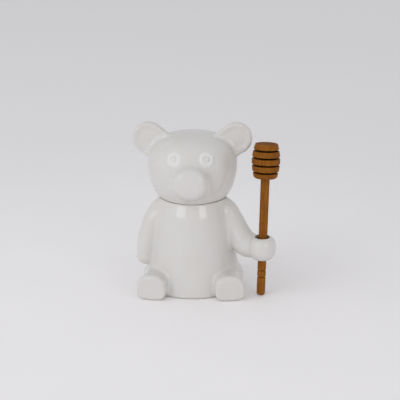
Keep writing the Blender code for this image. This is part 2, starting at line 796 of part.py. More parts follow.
def make_dipper_handle():
    """A tapered stick with a rounded tip and ring grooves, and its tenon up inside the head."""
    tip, edge = HANDLE_TIP_RADIUS, HANDLE_TIP_EDGE
    profile = [(0.0, 0.0)] + arc((tip - edge, edge), edge, -90, 0)
    half = HANDLE_GROOVE_WIDTH / 2
    for i in range(HANDLE_GROOVE_COUNT):
        place = HANDLE_GROOVE_HEIGHT + i * HANDLE_GROOVE_PITCH
        radius = handle_radius(place)
        profile += [(radius, place - half), (radius - HANDLE_GROOVE_DEPTH, place), (radius, place + half)]
    top = DIPPER_LENGTH - head_length() + TENON_DEPTH
    profile += [(HANDLE_TOP_RADIUS, top - DISC_EDGE), (HANDLE_TOP_RADIUS - DISC_EDGE, top), (0.0, top)]
    return turned("dipper_handle", profile, LIMB_SIDES)


def make_pot():
    torso_cutter = make_torso_cutter()
    leg_cutter = as_cutter(lofted("leg_cutter", leg_rings(-1.0, JOINT_GAP)))
    pieces = [
        make_pot_body(),
        make_resting_arm(torso_cutter, leg_cutter),
        make_holding_arm(torso_cutter, make_paw_cutter()),
        make_paw_ring(),
        make_leg("left_foot", 1.0, torso_cutter),
        make_leg("right_foot", -1.0, torso_cutter),
    ]
    for piece in pieces:
        finish(piece, GLAZE)


def make_lid():
    head = make_head_solid("head_shell", 0.0)
    head_cutter = as_cutter(make_head_solid("head_cutter", JOINT_GAP))
    boolean(head, "UNION", make_muzzle())
    for name, side in (("left_eye", 0.5), ("right_eye", -0.5)):
        boolean(head, "UNION", make_eye(name, side * EYE_SPACING))
    boolean(head, "DIFFERENCE", make_head_cavity())
    left = make_ear("left_ear", 1.0, head_cutter)
    right = make_ear("right_ear", -1.0, head_cutter)
    lift = empty_at("lid_lift", Vector((0.0, 0.0, seat_height())))
    for piece in (head, left, right):
        finish(piece, GLAZE)
        carry(lift, piece)


def make_dipper():
    """The dipper is made upright with its tip at the origin, then stood in the paw."""
    tip, lean = dipper_axis()
    turn = lean.to_track_quat("Z", "Y").to_matrix().to_4x4()
    flat = HANDLE_TIP_RADIUS - HANDLE_TIP_EDGE
    tilt = math.acos(lean.z)
    drop = flat * math.sin(tilt) - HANDLE_TIP_EDGE * (1.0 - math.cos(tilt))
    lift = empty_at("dipper_lift", tip + lean * (drop / lean.z), turn)
    for piece in (make_dipper_head(), make_dipper_handle()):
        finish(piece, WOOD)
        piece.parent = lift


clear_scene()
make_pot()
make_lid()
make_dipper()
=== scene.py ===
"""The look of a bear-shaped honey pot in pale glazed ceramic, its head lid and its wooden dipper.

Metres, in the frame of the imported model: +Z up, the bear faces -Y and holds the dipper at +X. Each
glazed piece is the zero level of a distance field, so that limbs, ears and snout run into the walls
with soft fillets, as clay parts do that are luted on and glazed. The dipper's pieces are turned.
"""

import json
import logging
import math
from collections.abc import Callable, Mapping, Sequence
from dataclasses import dataclass, field
from enum import Enum

import bpy
import numpy as np
from mathutils import Euler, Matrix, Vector


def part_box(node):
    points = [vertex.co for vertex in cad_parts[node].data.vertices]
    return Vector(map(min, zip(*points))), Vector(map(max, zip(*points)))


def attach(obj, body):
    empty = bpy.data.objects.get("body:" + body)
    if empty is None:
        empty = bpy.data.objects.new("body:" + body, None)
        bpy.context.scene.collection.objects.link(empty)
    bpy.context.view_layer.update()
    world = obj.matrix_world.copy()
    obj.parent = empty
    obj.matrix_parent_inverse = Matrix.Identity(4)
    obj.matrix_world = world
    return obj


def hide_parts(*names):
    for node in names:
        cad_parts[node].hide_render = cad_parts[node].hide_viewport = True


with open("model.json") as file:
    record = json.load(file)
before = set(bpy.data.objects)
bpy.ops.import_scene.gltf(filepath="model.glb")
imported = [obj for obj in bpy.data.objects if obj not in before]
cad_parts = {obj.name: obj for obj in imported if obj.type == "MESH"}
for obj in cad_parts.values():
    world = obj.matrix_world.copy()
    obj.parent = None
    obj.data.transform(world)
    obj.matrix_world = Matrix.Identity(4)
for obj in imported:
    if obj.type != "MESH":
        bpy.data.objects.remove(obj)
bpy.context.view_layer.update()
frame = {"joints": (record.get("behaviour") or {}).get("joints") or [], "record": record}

LOG = logging.getLogger("honey_pot")

Array = np.ndarray
Pair = tuple[float, float]
Triple = tuple[float, float, float]
Colour = Triple

TINY = 1e-9
GRADING_STEPS = 4000
FINE_SHARE = 0.5
FINE_BLEND = 0.0020
ARC_STEPS = 6


class Body(Enum):
    """The loose things that the pieces ride on."""

    POT = "pot"
    LID = "lid"
    DIPPER = "dipper"


class Slot(Enum):
    """The record's material slots."""

    GLAZE = "glaze"
    WOOD = "dipper_wood"


# Fields and curves


def ease(share: Array) -> Array:
    """The cubic 3s² - 2s³ of a share held within 0 and 1, which is level at both ends."""
    held = np.clip(share, 0.0, 1.0)
    return held * held * (3.0 - 2.0 * held)


def between(pair: Pair, share: "float | Array | Value") -> "float | Array | Value":
    """The value at a share of the way from the pair's first number to its second."""
    return pair[0] + (pair[1] - pair[0]) * share


def round_meet(a: Array, b: Array, radius: float | Array) -> Array:
    """Distance to what two solids share, with the edge between them rounded to an arc.

    Within the radius of both surfaces it is the length of (a + radius, b + radius) less the radius,
    and elsewhere the larger distance.

    Args:
        a: Distances to the first solid, negative inside.
        b: Distances to the second solid.
        radius: The arc's radius, one number or one for each point.

    Returns:
        The distances to the shared solid.
    """
    corner = np.hypot(np.maximum(a + radius, 0.0), np.maximum(b + radius, 0.0))
    return np.minimum(np.maximum(a, b), -radius) + corner


def soft_join(a: Array, b: Array, reach: float) -> Array:
    """Distance to two solids run together with a soft fillet.

    The smaller distance, less a sixth of the reach times the cube of (reach - |a - b|) / reach.

    Args:
        a: Distances to the first solid.
        b: Distances to the second solid.
        reach: How different the two distances may be where the fillet ends.

    Returns:
        The distances to the joined solid.
    """
    share = np.maximum(reach - np.abs(a - b), 0.0) / reach
    return np.minimum(a, b) - share**3 * reach / 6.0


def bulge(
    u: Array,
    v: Array,
    half_u: float | Array,
    half_v: float | Array,
    power: float | Array,
) -> Array:
    """Distance to a superellipse: its level less one, over the level's slope.

    The level is (|u / half_u|^power + |v / half_v|^power)^(1 / power).

    Args:
        u: Positions along the first axis.
        v: Positions along the second axis.
        half_u: Half the width along the first axis.
        half_v: Half the width along the second axis.
        power: 2 for an ellipse, more for a squarer outline.

    Returns:
        The distances, true to first order near the outline.
    """
    across = np.abs(u) / half_u
    up = np.abs(v) / half_v
    level = np.maximum((across**power + up**power) ** (1.0 / power), TINY)
    share_u, share_v = (across / level) ** (power - 1.0), (up / level) ** (power - 1.0)
    slope = np.hypot(share_u / half_u, share_v / half_v)
    return (level - 1.0) / slope


def smooth_curve(stations: Sequence[Sequence[float]], count: int) -> Array:
    """Evenly spaced points on a curve through the stations.

    Each stretch is the cubic with the stations' places and slopes at its ends, and a station's
    slope is the mean of the slopes beside it, weighted by length.

    Args:
        stations: The points that the curve passes through; further coordinates ride along.
        count: How many points to return.

    Returns:
        The points, one row each.
    """
    points = np.asarray(stations, float)
    lengths = np.linalg.norm(np.diff(points, axis=0), axis=1)[:, None]
    slopes = np.diff(points, axis=0) / lengths
    inner = (slopes[:-1] * lengths[1:] + slopes[1:] * lengths[:-1]) / (lengths[:-1] + lengths[1:])
    tangents = np.vstack([slopes[:1], inner, slopes[-1:]])
    t = np.linspace(0.0, 1.0, 4 * count)[:, None, None]  # fine enough to space out evenly below
    start, end = points[None, :-1], points[None, 1:]
    fine = (
        (2 * t**3 - 3 * t**2 + 1) * start
        + (t**3 - 2 * t**2 + t) * lengths * tangents[None, :-1]
        + (3 * t**2 - 2 * t**3) * end
        + (t**3 - t**2) * lengths * tangents[None, 1:]
    )
    path = fine.transpose(1, 0, 2).reshape(-1, points.shape[1])
    steps = np.linalg.norm(np.diff(path, axis=0), axis=1)
    travelled = np.append(0.0, np.cumsum(steps))
    even = np.linspace(0.0, travelled[-1], count)
    return np.column_stack([np.interp(even, travelled, column) for column in path.T])


def limb_distance(points: Array, path: Array) -> Array:
    """Distance to a limb of round section: the least distance to its path less the radius there.

    The least over the path's points is refined with the parabola through it and its neighbours.

    Args:
        points: Where to measure, one row each.
        path: The limb's centre line as rows of x, y, z and radius.

    Returns:
        The distances.
    """
    centres, radii = path[:, :3], path[:, 3]
    squares = (points**2).sum(1)[:, None] + (centres**2).sum(1) - 2.0 * points @ centres.T
    gaps = np.sqrt(np.maximum(squares, 0.0)) - radii
    middle = np.clip(gaps.argmin(1), 1, len(path) - 2)[:, None]
    before, here, after = (np.take_along_axis(gaps, middle + step, 1)[:, 0] for step in (-1, 0, 1))
    bend = np.maximum(before - 2.0 * here + after, TINY)
    shift = np.clip((before - after) / (2.0 * bend), -1.0, 1.0)
    return here + (after - before) / 2.0 * shift + bend / 2.0 * shift**2


def graded_planes(low: float, high: float, cell: float, fine: Sequence[Pair]) -> Array:
    """Places of lattice planes, closer together in the fine stretches.

    The planes stand where the running sum of 1 / cell passes whole numbers, and the cell shrinks to
    FINE_SHARE of its size inside each stretch, with an eased change over FINE_BLEND at its ends.

    Args:
        low: The first plane.
        high: The last plane.
        cell: The distance between planes elsewhere.
        fine: Each fine stretch as its middle and half its length.

    Returns:
        The planes' places, in order.
    """
    places = np.linspace(low, high, GRADING_STEPS)
    size = np.full(places.shape, cell)
    for middle, half in fine:
        near = ease((half + FINE_BLEND - np.abs(places - middle)) / FINE_BLEND)
        size = np.minimum(size, cell * (1.0 - (1.0 - FINE_SHARE) * near))
    counted = np.append(0.0, np.cumsum(np.diff(places) / size[1:]))
    return np.interp(np.linspace(0.0, counted[-1], round(counted[-1]) + 1), counted, places)


# Meshes


@dataclass
class Surface:
    """A finished surface: points, faces and what goes with each point."""

    points: Array
    faces: list[Array]
    normals: Array | None = None
    attributes: dict[str, Array] = field(default_factory=dict)

    def to_object(self, name: str, material: bpy.types.Material) -> bpy.types.Object:
        """A mesh object at the origin, shaded smooth.

        Args:
            name: The object's name.
            material: Its material.

        Returns:
            The object, linked to the scene.
        """
        mesh = bpy.data.meshes.new(name)
        faces = [row for block in self.faces for row in block.tolist()]
        mesh.from_pydata(self.points.tolist(), [], faces)
        for key, values in self.attributes.items():
            layer = mesh.attributes.new(key, "FLOAT", "POINT")
            layer.data.foreach_set("value", values.astype(np.float32))
        mesh.shade_smooth()
        if self.normals is not None:
            mesh.normals_split_custom_set_from_vertices(self.normals.tolist())
        mesh.materials.append(material)
        made = bpy.data.objects.new(name, mesh)
        bpy.context.scene.collection.objects.link(made)
        return made


def crossed_cells(inside: Array, planes: Sequence[Array]) -> tuple[Array, Array]:
    """The net of quads through the lattice cells that a surface passes through.

    Each cell with corners on both sides gets a point at its middle, and each lattice edge whose
    ends lie on different sides gets a quad between the four cells round it, facing the outside.

    Args:
        inside: True at the lattice points inside the solid.
        planes: The lattice planes' places along x, y and z.

    Returns:
        The points and the quads.
    """
    corners = sum(
        inside[i : i - 1 or None, j : j - 1 or None, k : k - 1 or None].astype(np.int8)
        for i in (0, 1)
        for j in (0, 1)
        for k in (0, 1)
    )
    crossed = (corners > 0) & (corners < 8)
    number = np.full(crossed.shape, -1)
    number[crossed] = np.arange(crossed.sum())
    middles = [(p[1:] + p[:-1]) / 2.0 for p in planes]
    points = np.column_stack([m[i] for m, i in zip(middles, np.nonzero(crossed))])
    quads = []
    for axis in range(3):
        side = np.moveaxis(inside, axis, 0)
        cells = np.moveaxis(number, axis, 0)
        first, second = side[:-1, 1:-1, 1:-1], side[1:, 1:-1, 1:-1]
        ring = np.stack(
            [cells[:, :-1, :-1], cells[:, 1:, :-1], cells[:, 1:, 1:], cells[:, :-1, 1:]], axis=-1
        )
        changed = first != second
        found, outward = ring[changed], first[changed]
        if axis == 1:
            outward = ~outward
        quads.append(np.where(outward[:, None], found, found[:, ::-1]))
    return points, np.vstack(quads)


def evened(points: Array, quads: Array) -> Array:
    """The points, each moved to the mean of the neighbours along its quads' sides.

    Args:
        points: The net's points.
        quads: The net's quads.

    Returns:
        The moved points.
    """
    sides = np.vstack([quads[:, [i, (i + 1) % 4]] for i in range(4)])
    shares = np.bincount(sides[:, 0], minlength=len(points))
    sums = [np.bincount(sides[:, 0], points[sides[:, 1], axis], len(points)) for axis in range(3)]
    return np.column_stack(sums) / shares[:, None]


@dataclass
class ClayPiece:
    """A glazed piece: the zero level of a distance field, negative inside the clay."""

    body: Body
    cell: float = 0.00085
    margin: float = 2.5
    even_rounds: int = 4
    probe: float = 0.00008
    curve_probe: float = 0.0006
    least_slope: float = 0.2

    def distance(self, points: Array) -> Array:
        """Distances from points to the piece's surface."""
        raise NotImplementedError

    def fine_stretches(self) -> tuple[Sequence[Pair], ...]:
        """Along x, y and z, the stretches with fine lattice planes: middles and half lengths."""
        raise NotImplementedError

    def bare(self) -> tuple[Pair, ...]:
        """The level bands in which the clay is bare, each from its low to its high end."""
        raise NotImplementedError

    def solids(self) -> list[str]:
        """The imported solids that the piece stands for."""
        return frame["record"]["behaviour"]["bodies"][self.body.value]

    def planes(self) -> list[Array]:
        """The lattice planes, from the margin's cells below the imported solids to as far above.

        Returns:
            The planes' places along x, y and z.
        """
        lows, highs = zip(*(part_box(name) for name in self.solids()))
        low = np.min(np.array(lows), axis=0) - self.margin * self.cell
        high = np.max(np.array(highs), axis=0) + self.margin * self.cell
        spans = zip(low, high, self.fine_stretches())
        return [graded_planes(first, last, self.cell, fine) for first, last, fine in spans]

    def slope(self, points: Array, step: float) -> tuple[Array, Array]:
        """The field's slope and its bending, from its values a step away along each axis.

        The bending is the sum of the second differences, which is positive on outward curves.

        Args:
            points: Where to measure.
            step: How far away the values are taken.

        Returns:
            The slopes as rows, and the bendings.
        """
        here = self.distance(points)
        slopes = np.empty_like(points)
        bending = np.zeros(len(points))
        for axis in range(3):
            shift = np.zeros(3)
            shift[axis] = step
            ahead, behind = self.distance(points + shift), self.distance(points - shift)
            slopes[:, axis] = (ahead - behind) / (2.0 * step)
            bending += (ahead + behind - 2.0 * here) / step**2
        return slopes, bending

    def onto_surface(self, points: Array) -> Array:
        """Points moved along the slope to the zero level, by a Newton step of at most one cell.

        Args:
            points: The points to move.

        Returns:
            The moved points.
        """
        slopes, _ = self.slope(points, self.probe)
        square = np.maximum((slopes**2).sum(1), self.least_slope**2)
        step = self.distance(points) / square
        length = np.abs(step) * np.sqrt(square)
        step *= np.minimum(1.0, self.cell / np.maximum(length, TINY))
        return points - slopes * step[:, None]

    def lattice_signs(self, planes: Sequence[Array]) -> Array:
        """Which lattice points lie inside the clay, worked out one slice along x at a time.

        Args:
            planes: The lattice planes' places along x, y and z.

        Returns:
            True at each point inside.
        """
        y, z = np.meshgrid(planes[1], planes[2], indexing="ij")
        flat = np.column_stack([np.zeros(y.size), y.ravel(), z.ravel()])
        slices = []
        for x in planes[0]:
            flat[:, 0] = x
            slices.append((self.distance(flat) < 0.0).reshape(y.shape))
        return np.stack(slices)

    def surface(self) -> Surface:
        """The piece's surface as an even net of quads, by turns evened and moved onto the field.

        Returns:
            The surface, with its true normals, its bending, and where painted highlight lightens and
            painted shade darkens it.
        """
        planes = self.planes()
        points, quads = crossed_cells(self.lattice_signs(planes), planes)
        points = self.onto_surface(points)
        for _ in range(self.even_rounds):
            points = self.onto_surface(evened(points, quads))
        points = self.onto_surface(points)
        normals, _ = self.slope(points, self.probe)
        normals /= np.linalg.norm(normals, axis=1)[:, None]
        _, bending = self.slope(points, self.curve_probe)
        per_millimetre = bending / 1000.0
        marks = {"bending": per_millimetre, "eye_light": self.eye_light(points), "hole_shade": self.hole_shade(points)}
        return Surface(points, [quads], normals, marks)

    def eye_light(self, points: Array) -> Array:
        """Where the glaze is painted lighter, with a painted highlight, from 0 to 1."""
        return np.zeros(len(points))

    def hole_shade(self, points: Array) -> Array:
        """Where painted shade and a painted reflection darken the glaze, from 0 to 1."""
        return np.zeros(len(points))


# Ceramic pieces


@dataclass(frozen=True)
class Arm:
    """An arm's path along the torso: stations of height, standoff from the wall, and radius."""

    side: float
    end_turn: float
    stations: tuple[Triple, ...]
    shoulder_turn: float = 12.0
    samples: int = 44

    def path(self, wall_radius: Callable[[Array], Array], hand: Sequence[float] | None) -> Array:
        """The centre line, turned further forward of the side the lower it runs.

        Args:
            wall_radius: The torso's radius at a height.
            hand: One more station where the arm reaches away from the torso, or None.

        Returns:
            Rows of x, y, z and radius.
        """
        height, standoff, radius = np.array(self.stations).T
        share = (height[0] - height) / (height[0] - height[-1])
        turn = np.radians(between((self.shoulder_turn, self.end_turn), share))
        reach = wall_radius(height) + standoff
        out, forward = reach * np.cos(turn), reach * np.sin(turn)
        rows = np.column_stack([self.side * out, -forward, height, radius])
        if hand is not None:
            rows = np.vstack([rows, hand])
        return smooth_curve(rows, self.samples)


@dataclass(frozen=True)
class Leg:
    """A leg from inside the hip to its flat sole, arched above and square at the ground."""

    hip: tuple[float, float, float, float] = (0.0224, 0.0040, 0.0117, 0.0176)
    sole: tuple[float, float, float, float] = (0.0312, 0.0417, 0.0120, 0.0202)
    sole_turn: float = 10.0
    top_power: float = 2.2
    foot_power: float = 3.6
    edge: float = 0.0033
    foot_edge: float = 0.0014

    def distance(self, points: Array, side: float) -> Array:
        """Distance to one leg: a superellipse that changes on its way to the sole's plane.

        The hip's and the sole's values are spread, forward reach, half width and top. The sole is
        turned outward, so the plane's distance is along the cosine and sine of its turn.

        Args:
            points: Where to measure.
            side: 1 for the bear's left and -1 for its right.

        Returns:
            The distances.
        """
        x, y, z = points.T
        ahead = np.clip((-y - self.hip[1]) / (self.sole[1] - self.hip[1]), 0.0, 1.0)
        spread, half_width, top = (between((self.hip[i], self.sole[i]), ahead) for i in (0, 2, 3))
        power = np.where(z > top / 2.0, self.top_power, self.foot_power)
        section = bulge(side * x - spread, z - top / 2.0, half_width, top / 2.0, power)
        edge = between((self.foot_edge, self.edge), ease(z / (self.sole[3] / 2.0)))
        turn = math.radians(self.sole_turn)
        front = (-y - self.sole[1]) * math.cos(turn) + (side * x - self.sole[0]) * math.sin(turn)
        leg = round_meet(section, front, edge)
        return np.maximum(leg, y + self.hip[1])


@dataclass
class PotClay(ClayPiece):
    """The pot: a hollow torso with two arms, two legs and the bead that holds the dipper.

    The wall's and the belly's stations are heights with radii.
    """

    body: Body = Body.POT
    wall_stations: tuple[Pair, ...] = (
        (0.0018, 0.0393),
        (0.0080, 0.0404),
        (0.0165, 0.0367),
        (0.0260, 0.0345),
        (0.0470, 0.0320),
        (0.0640, 0.0290),
        (0.0717, 0.0265),
    )
    belly: tuple[Pair, Pair] = ((0.0470, 0.0320), (0.0018, 0.0390))
    belly_haste: float = 1.6
    base_edge: float = 0.0018
    foot_round: float = 0.0005
    rim_edge: float = 0.0008
    neck_edge: float = 0.0013
    rim_width: float = 0.0054
    wall: float = 0.0042
    floor: float = 0.0050
    floor_corner: float = 0.0060
    throat: Pair = (0.0565, 0.0655)
    resting_arm: Arm = Arm(
        side=-1.0,
        end_turn=15.0,
        stations=(
            (0.0640, -0.0120, 0.0072),
            (0.0640, -0.0052, 0.0084),
            (0.0565, -0.0004, 0.0084),
            (0.0470, 0.0024, 0.0080),
            (0.0364, 0.0041, 0.0080),
            (0.0257, 0.0041, 0.0071),
        ),
    )
    holding_arm: Arm = Arm(
        side=1.0,
        end_turn=18.5,
        stations=(
            (0.0640, -0.0120, 0.0072),
            (0.0640, -0.0032, 0.0084),
            (0.0565, 0.0016, 0.0084),
            (0.0470, 0.0062, 0.0086),
            (0.0402, 0.0094, 0.0101),
        ),
    )
    wrist_radius: float = 0.0080
    leg: Leg = Leg()
    bead_radius: float = 0.0107
    bead_half_height: float = 0.0101
    bead_powers: Pair = (2.3, 3.0)
    hole_radius: float = 0.0057
    hole_edge: float = 0.0008
    arm_reach: float = 0.0060
    leg_reach: Pair = (0.0034, 0.0075)
    leg_outside: Pair = (0.0260, 0.0370)
    bead_reach: float = 0.0014
    foot_bare: Pair = (-0.0100, 0.0004)
    rim_bare: Pair = (-0.0001, 0.0100)
    wall_samples: int = 3000

    def __post_init__(self) -> None:
        """Reads the neck's height and the bead's centre from the frame, and lays out the curves."""
        self.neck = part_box("pot_body")[1].z
        low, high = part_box("paw_ring")
        self.bead_centre = (low + high) / 2.0
        wall = smooth_curve(self.wall_stations, self.wall_samples)
        self.heights, self.radii = wall[:, 0], wall[:, 1]
        hand = (*self.bead_centre, self.wrist_radius)
        self.arm_paths = (
            self.resting_arm.path(self.wall_radius, None),
            self.holding_arm.path(self.wall_radius, hand),
        )

    def wall_radius(self, height: Array) -> Array:
        """The torso's outer radius at a height."""
        return np.interp(height, self.heights, self.radii)

    def torso(self, points: Array) -> Array:
        """Distance to the torso without its hollow: distance from the axis less the wall's radius.

        In front, the flare at the hips gives way to a straight slope from the chest to the base, by
        the square of the cosine of the angle from the front.

        Args:
            points: Where to measure, one row each.

        Returns:
            The distances, negative inside.
        """
        x, y, z = points.T
        around = np.maximum(np.hypot(x, y), TINY)
        wall = self.wall_radius(z)
        chest, base = self.belly
        slope = base[1] + (chest[1] - base[1]) * (z - base[0]) / (chest[0] - base[0])
        front = np.maximum(-y / around, 0.0) ** 2
        drop = (chest[0] - z) / (chest[0] - base[0])
        wall += (slope - wall) * front * ease(drop * self.belly_haste)
        return round_meet(around - wall, -z, self.base_edge)

    def hollow(self, points: Array) -> Array:
        """Distance to the inside: a wall's thickness within the torso, drawn in to the neck's bore.

        Args:
            points: Where to measure, one row each.

        Returns:
            The distances, negative inside.
        """
        around = np.hypot(points[:, 0], points[:, 1])
        z = points[:, 2]
        bore = self.radii[-1] - self.rim_width
        start, end = self.throat
        inner = self.wall_radius(z) - self.wall
        inner += (bore - inner) * ease((z - start) / (end - start))
        return round_meet(around - inner, self.floor - z, self.floor_corner)

    def bead(self, points: Array) -> Array:
        """Distance to the paw's bead, a superellipse turned about its upright axis, squarer above.

        Args:
            points: Where to measure, one row each.

        Returns:
            The distances, negative inside.
        """
        x, y, z = (points - np.array(self.bead_centre)).T
        power = np.where(z > 0.0, self.bead_powers[1], self.bead_powers[0])
        return bulge(np.hypot(x, y), z, self.bead_radius, self.bead_half_height, power)

    def hole(self, points: Array) -> Array:
        """Distance to the bead's upright hole, a cylinder."""
        x, y = (points[:, :2] - np.array(self.bead_centre)[:2]).T
        return np.hypot(x, y) - self.hole_radius

    def hole_shade(self, points: Array) -> Array:
        """Painted shade and a painted reflection of the stick: the wall of the bead's hole, below
        its edge.

        Args:
            points: Where to look, one row each.

        Returns:
            The painted shade's strength, from 0 to 1.
        """
        depth = self.bead_half_height - np.abs(points[:, 2] - self.bead_centre.z)
        inside = ease((self.hole_edge / 2.0 - self.hole(points)) / self.hole_edge)
        return inside * ease(depth / self.hole_edge - 1.0)

    def distance(self, points: Array) -> Array:
        """The torso and limbs run together, cut by the ground, the neck's plane and the hollows.

        A leg's fillet has a longer reach on the outside, where the flank runs on into the hip.

        Args:
            points: Where to measure, one row each.

        Returns:
            The distances, negative inside.
        """
        resting, holding = (limb_distance(points, path) for path in self.arm_paths)
        clay = soft_join(self.torso(points), resting, self.arm_reach)
        clay = soft_join(clay, holding, self.arm_reach)
        start, end = self.leg_outside
        for side in (-1.0, 1.0):
            outside = ease((side * points[:, 0] - start) / (end - start))
            leg = self.leg.distance(points, side)
            clay = soft_join(clay, leg, between(self.leg_reach, outside))
        clay = soft_join(clay, self.bead(points), self.bead_reach)
        clay = round_meet(clay, points[:, 2] - self.neck, self.neck_edge)
        clay = round_meet(clay, -points[:, 2], self.foot_round)
        clay = round_meet(clay, -self.hole(points), self.hole_edge)
        return round_meet(clay, -self.hollow(points), self.rim_edge)

    def fine_stretches(self) -> tuple[Sequence[Pair], ...]:
        """Along x at the bead, and along z at the neck's rim."""
        return [(self.bead_centre.x, self.bead_radius)], [], [(self.neck, 2.0 * self.rim_edge)]

    def bare(self) -> tuple[Pair, ...]:
        """The foot and the rim."""
        low, high = self.rim_bare
        return self.foot_bare, (self.neck + low, self.neck + high)


@dataclass
class LidClay(ClayPiece):
    """The lid: the bear's hollow head with its snout, eyes and ears, and the collar below its seat.

    The eye's stations are distances from its axis with how far they stand out. Its painted
    lightening is a dot's radius, then the radii where a ring starts, is full, fades and ends.
    """

    body: Body = Body.LID
    cell: float = 0.00080
    neck_radius: float = 0.0254
    height: float = 0.0513
    cheek_rise: float = 0.0250
    half_width: float = 0.0351
    half_depth: float = 0.0325
    jaw_power: float = 1.6
    crown_power: float = 2.7
    wall: float = 0.0042
    seat_edge: float = 0.0008
    seat_thickness: float = 0.0035
    collar_radius: float = 0.0205
    collar_wall: float = 0.0035
    collar_depth: float = 0.0070
    snout_rise: float = 0.0188
    snout_half_width: float = 0.0113
    snout_half_height: float = 0.0109
    snout_power: float = 2.15
    snout_edge: float = 0.0029
    snout_dome: float = 0.0008
    snout_taper: float = 0.36
    snout_dome_limit: float = 4.0
    snout_reach: Pair = (0.0062, 0.0125)
    eye_rise: float = 0.0366
    eye_spacing: float = 0.0251
    eye_depth: float = 0.0080
    # Radii of the painted lightening round each eye: the dot is a painted highlight, the ring whiter
    # glaze with a painted highlight.
    eye_light_radii: tuple[float, ...] = (0.0012, 0.0030, 0.0037, 0.0049, 0.0062)
    eye_stations: tuple[Pair, ...] = (
        (0.0000, 0.00120),
        (0.0009, 0.00108),
        (0.0017, 0.00060),
        (0.0023, 0.00036),
        (0.0031, 0.00034),
        (0.0041, 0.00090),
        (0.0049, 0.00058),
        (0.0062, 0.00000),
    )
    ear_lean: float = 33.0
    ear_radius: float = 0.0124
    ear_root_radius: float = 0.0112
    ear_root_depth: float = 0.0150
    ear_half_thickness: float = 0.00425
    ear_back_edge: float = 0.0034
    ear_front_edge: float = 0.0016
    ear_rim: float = 0.0013
    ear_dish: float = 0.0010
    ear_dish_ramp: float = 0.0046
    ear_sink: float = 0.0011
    ear_reach: Pair = (0.0036, 0.0088)
    ear_crease: float = 0.0005
    least_room: float = 0.0010
    seat_bare: Pair = (-0.0003, 0.0001)
    relief_samples: int = 600

    def __post_init__(self) -> None:
        """Reads the seat's height, the snout's front and the ears' places from the frame."""
        low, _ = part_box("head_shell")
        self.seat = low.z + self.collar_depth
        self.cheek = self.seat + self.cheek_rise
        self.front = -low.y
        ear_low, ear_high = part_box("left_ear")
        lean = math.radians(self.ear_lean)
        self.ear_centre = (
            ear_high.x - self.ear_radius,
            (ear_low.y + ear_high.y) / 2.0,
            ear_high.z - self.ear_radius,
        )
        self.ear_out = (math.cos(lean), math.sin(lean))
        relief = smooth_curve(self.eye_stations, self.relief_samples)
        self.eye_radii, self.eye_relief = relief[:, 0], relief[:, 1]
        self.eye_frames = [self.eye_frame(side * self.eye_spacing / 2.0) for side in (-1.0, 1.0)]

    def head(self, points: Array) -> Array:
        """Distance to the plain head.

        Above the cheeks it is half a superellipsoid. Below, the width beyond the neck and the drop
        from the cheeks lie on a superellipse, so the head is round at the seat and oval at the
        cheeks.

        Args:
            points: Where to measure, one row each.

        Returns:
            The distances, negative inside.
        """
        x, y, z = points.T
        stretch = self.half_width / self.half_depth
        around = np.maximum(np.hypot(x, y), TINY)
        oval = np.hypot(x, stretch * y)
        neck = self.neck_radius * oval / around
        rise = self.height - self.cheek_rise
        crown = bulge(oval, z - self.cheek, self.half_width, rise, self.crown_power)
        beyond = np.maximum(oval - neck, 0.0)
        room = np.maximum(self.half_width - neck, self.least_room)
        jaw = bulge(beyond, self.cheek - z, room, self.cheek_rise, self.jaw_power)
        return np.where(z > self.cheek, crown, jaw)

    def snout(self, points: Array) -> Array:
        """Distance to the snout: a superellipse that narrows forward, met by a low dome.

        Args:
            points: Where to measure, one row each.

        Returns:
            The distances, negative inside.
        """
        x, y, z = points.T
        up = z - self.seat - self.snout_rise
        spread = self.snout_taper * np.maximum(self.front + y, 0.0)
        half_width, half_height = self.snout_half_width, self.snout_half_height
        side = bulge(x, up, half_width + spread, half_height + spread, self.snout_power)
        off = (x / half_width) ** 2 + (up / half_height) ** 2
        front = -y - self.front + self.snout_dome * np.minimum(off, self.snout_dome_limit)
        return np.maximum(round_meet(side, front, self.snout_edge), y)

    def eye_frame(self, x: float, step: float = 1e-5, rounds: int = 8) -> tuple[Array, Array]:
        """A point on the face at the eyes' height, found by Newton steps, and the way out from it.

        Args:
            x: Where the eye is, across the face.
            step: How far away the slope's values are taken.
            rounds: How many steps are made.

        Returns:
            The point and the unit normal.
        """
        point = np.array([[x, -self.half_depth, self.seat + self.eye_rise]])
        for _ in range(rounds):
            here = self.head(point)[0]
            ahead = self.head(point + [0.0, step, 0.0])[0]
            point[0, 1] -= here * step / (ahead - here)
        shifts = np.eye(3) * step
        slopes = [self.head(point + shift)[0] - self.head(point - shift)[0] for shift in shifts]
        return point[0], np.array(slopes) / np.linalg.norm(slopes)

    def off_eye(self, points: Array) -> Array:
        """Distance to the nearer eye's axis, and a large one away from the face.

        Args:
            points: Where to measure, one row each.

        Returns:
            The distances.
        """
        nearest = np.ones(len(points))
        for centre, out in self.eye_frames:
            along = (points - centre) @ out
            off = np.linalg.norm(points - centre - along[:, None] * out, axis=1)
            nearest = np.where(np.abs(along) < self.eye_depth, np.minimum(nearest, off), nearest)
        return nearest

    def eyes(self, points: Array) -> Array:
        """How far the eyes stand out of the face: the relief at a distance from the eye's axis."""
        return np.interp(self.off_eye(points), self.eye_radii, self.eye_relief)

    def eye_light(self, points: Array) -> Array:
        """Where the glaze is painted lighter: the broad ring round each eye, whiter glaze with a
        painted highlight, and the dot in its middle, a painted highlight.

        Args:
            points: Where to look, one row each.

        Returns:
            How much lighter the glaze is painted, from 0 to 1.
        """
        dot, start, full, fading, end = self.eye_light_radii
        off = self.off_eye(points)
        ring = ease((off - start) / (full - start)) * ease((end - off) / (end - fading))
        return np.maximum(ring, ease((dot - off) / (dot / 2.0)))

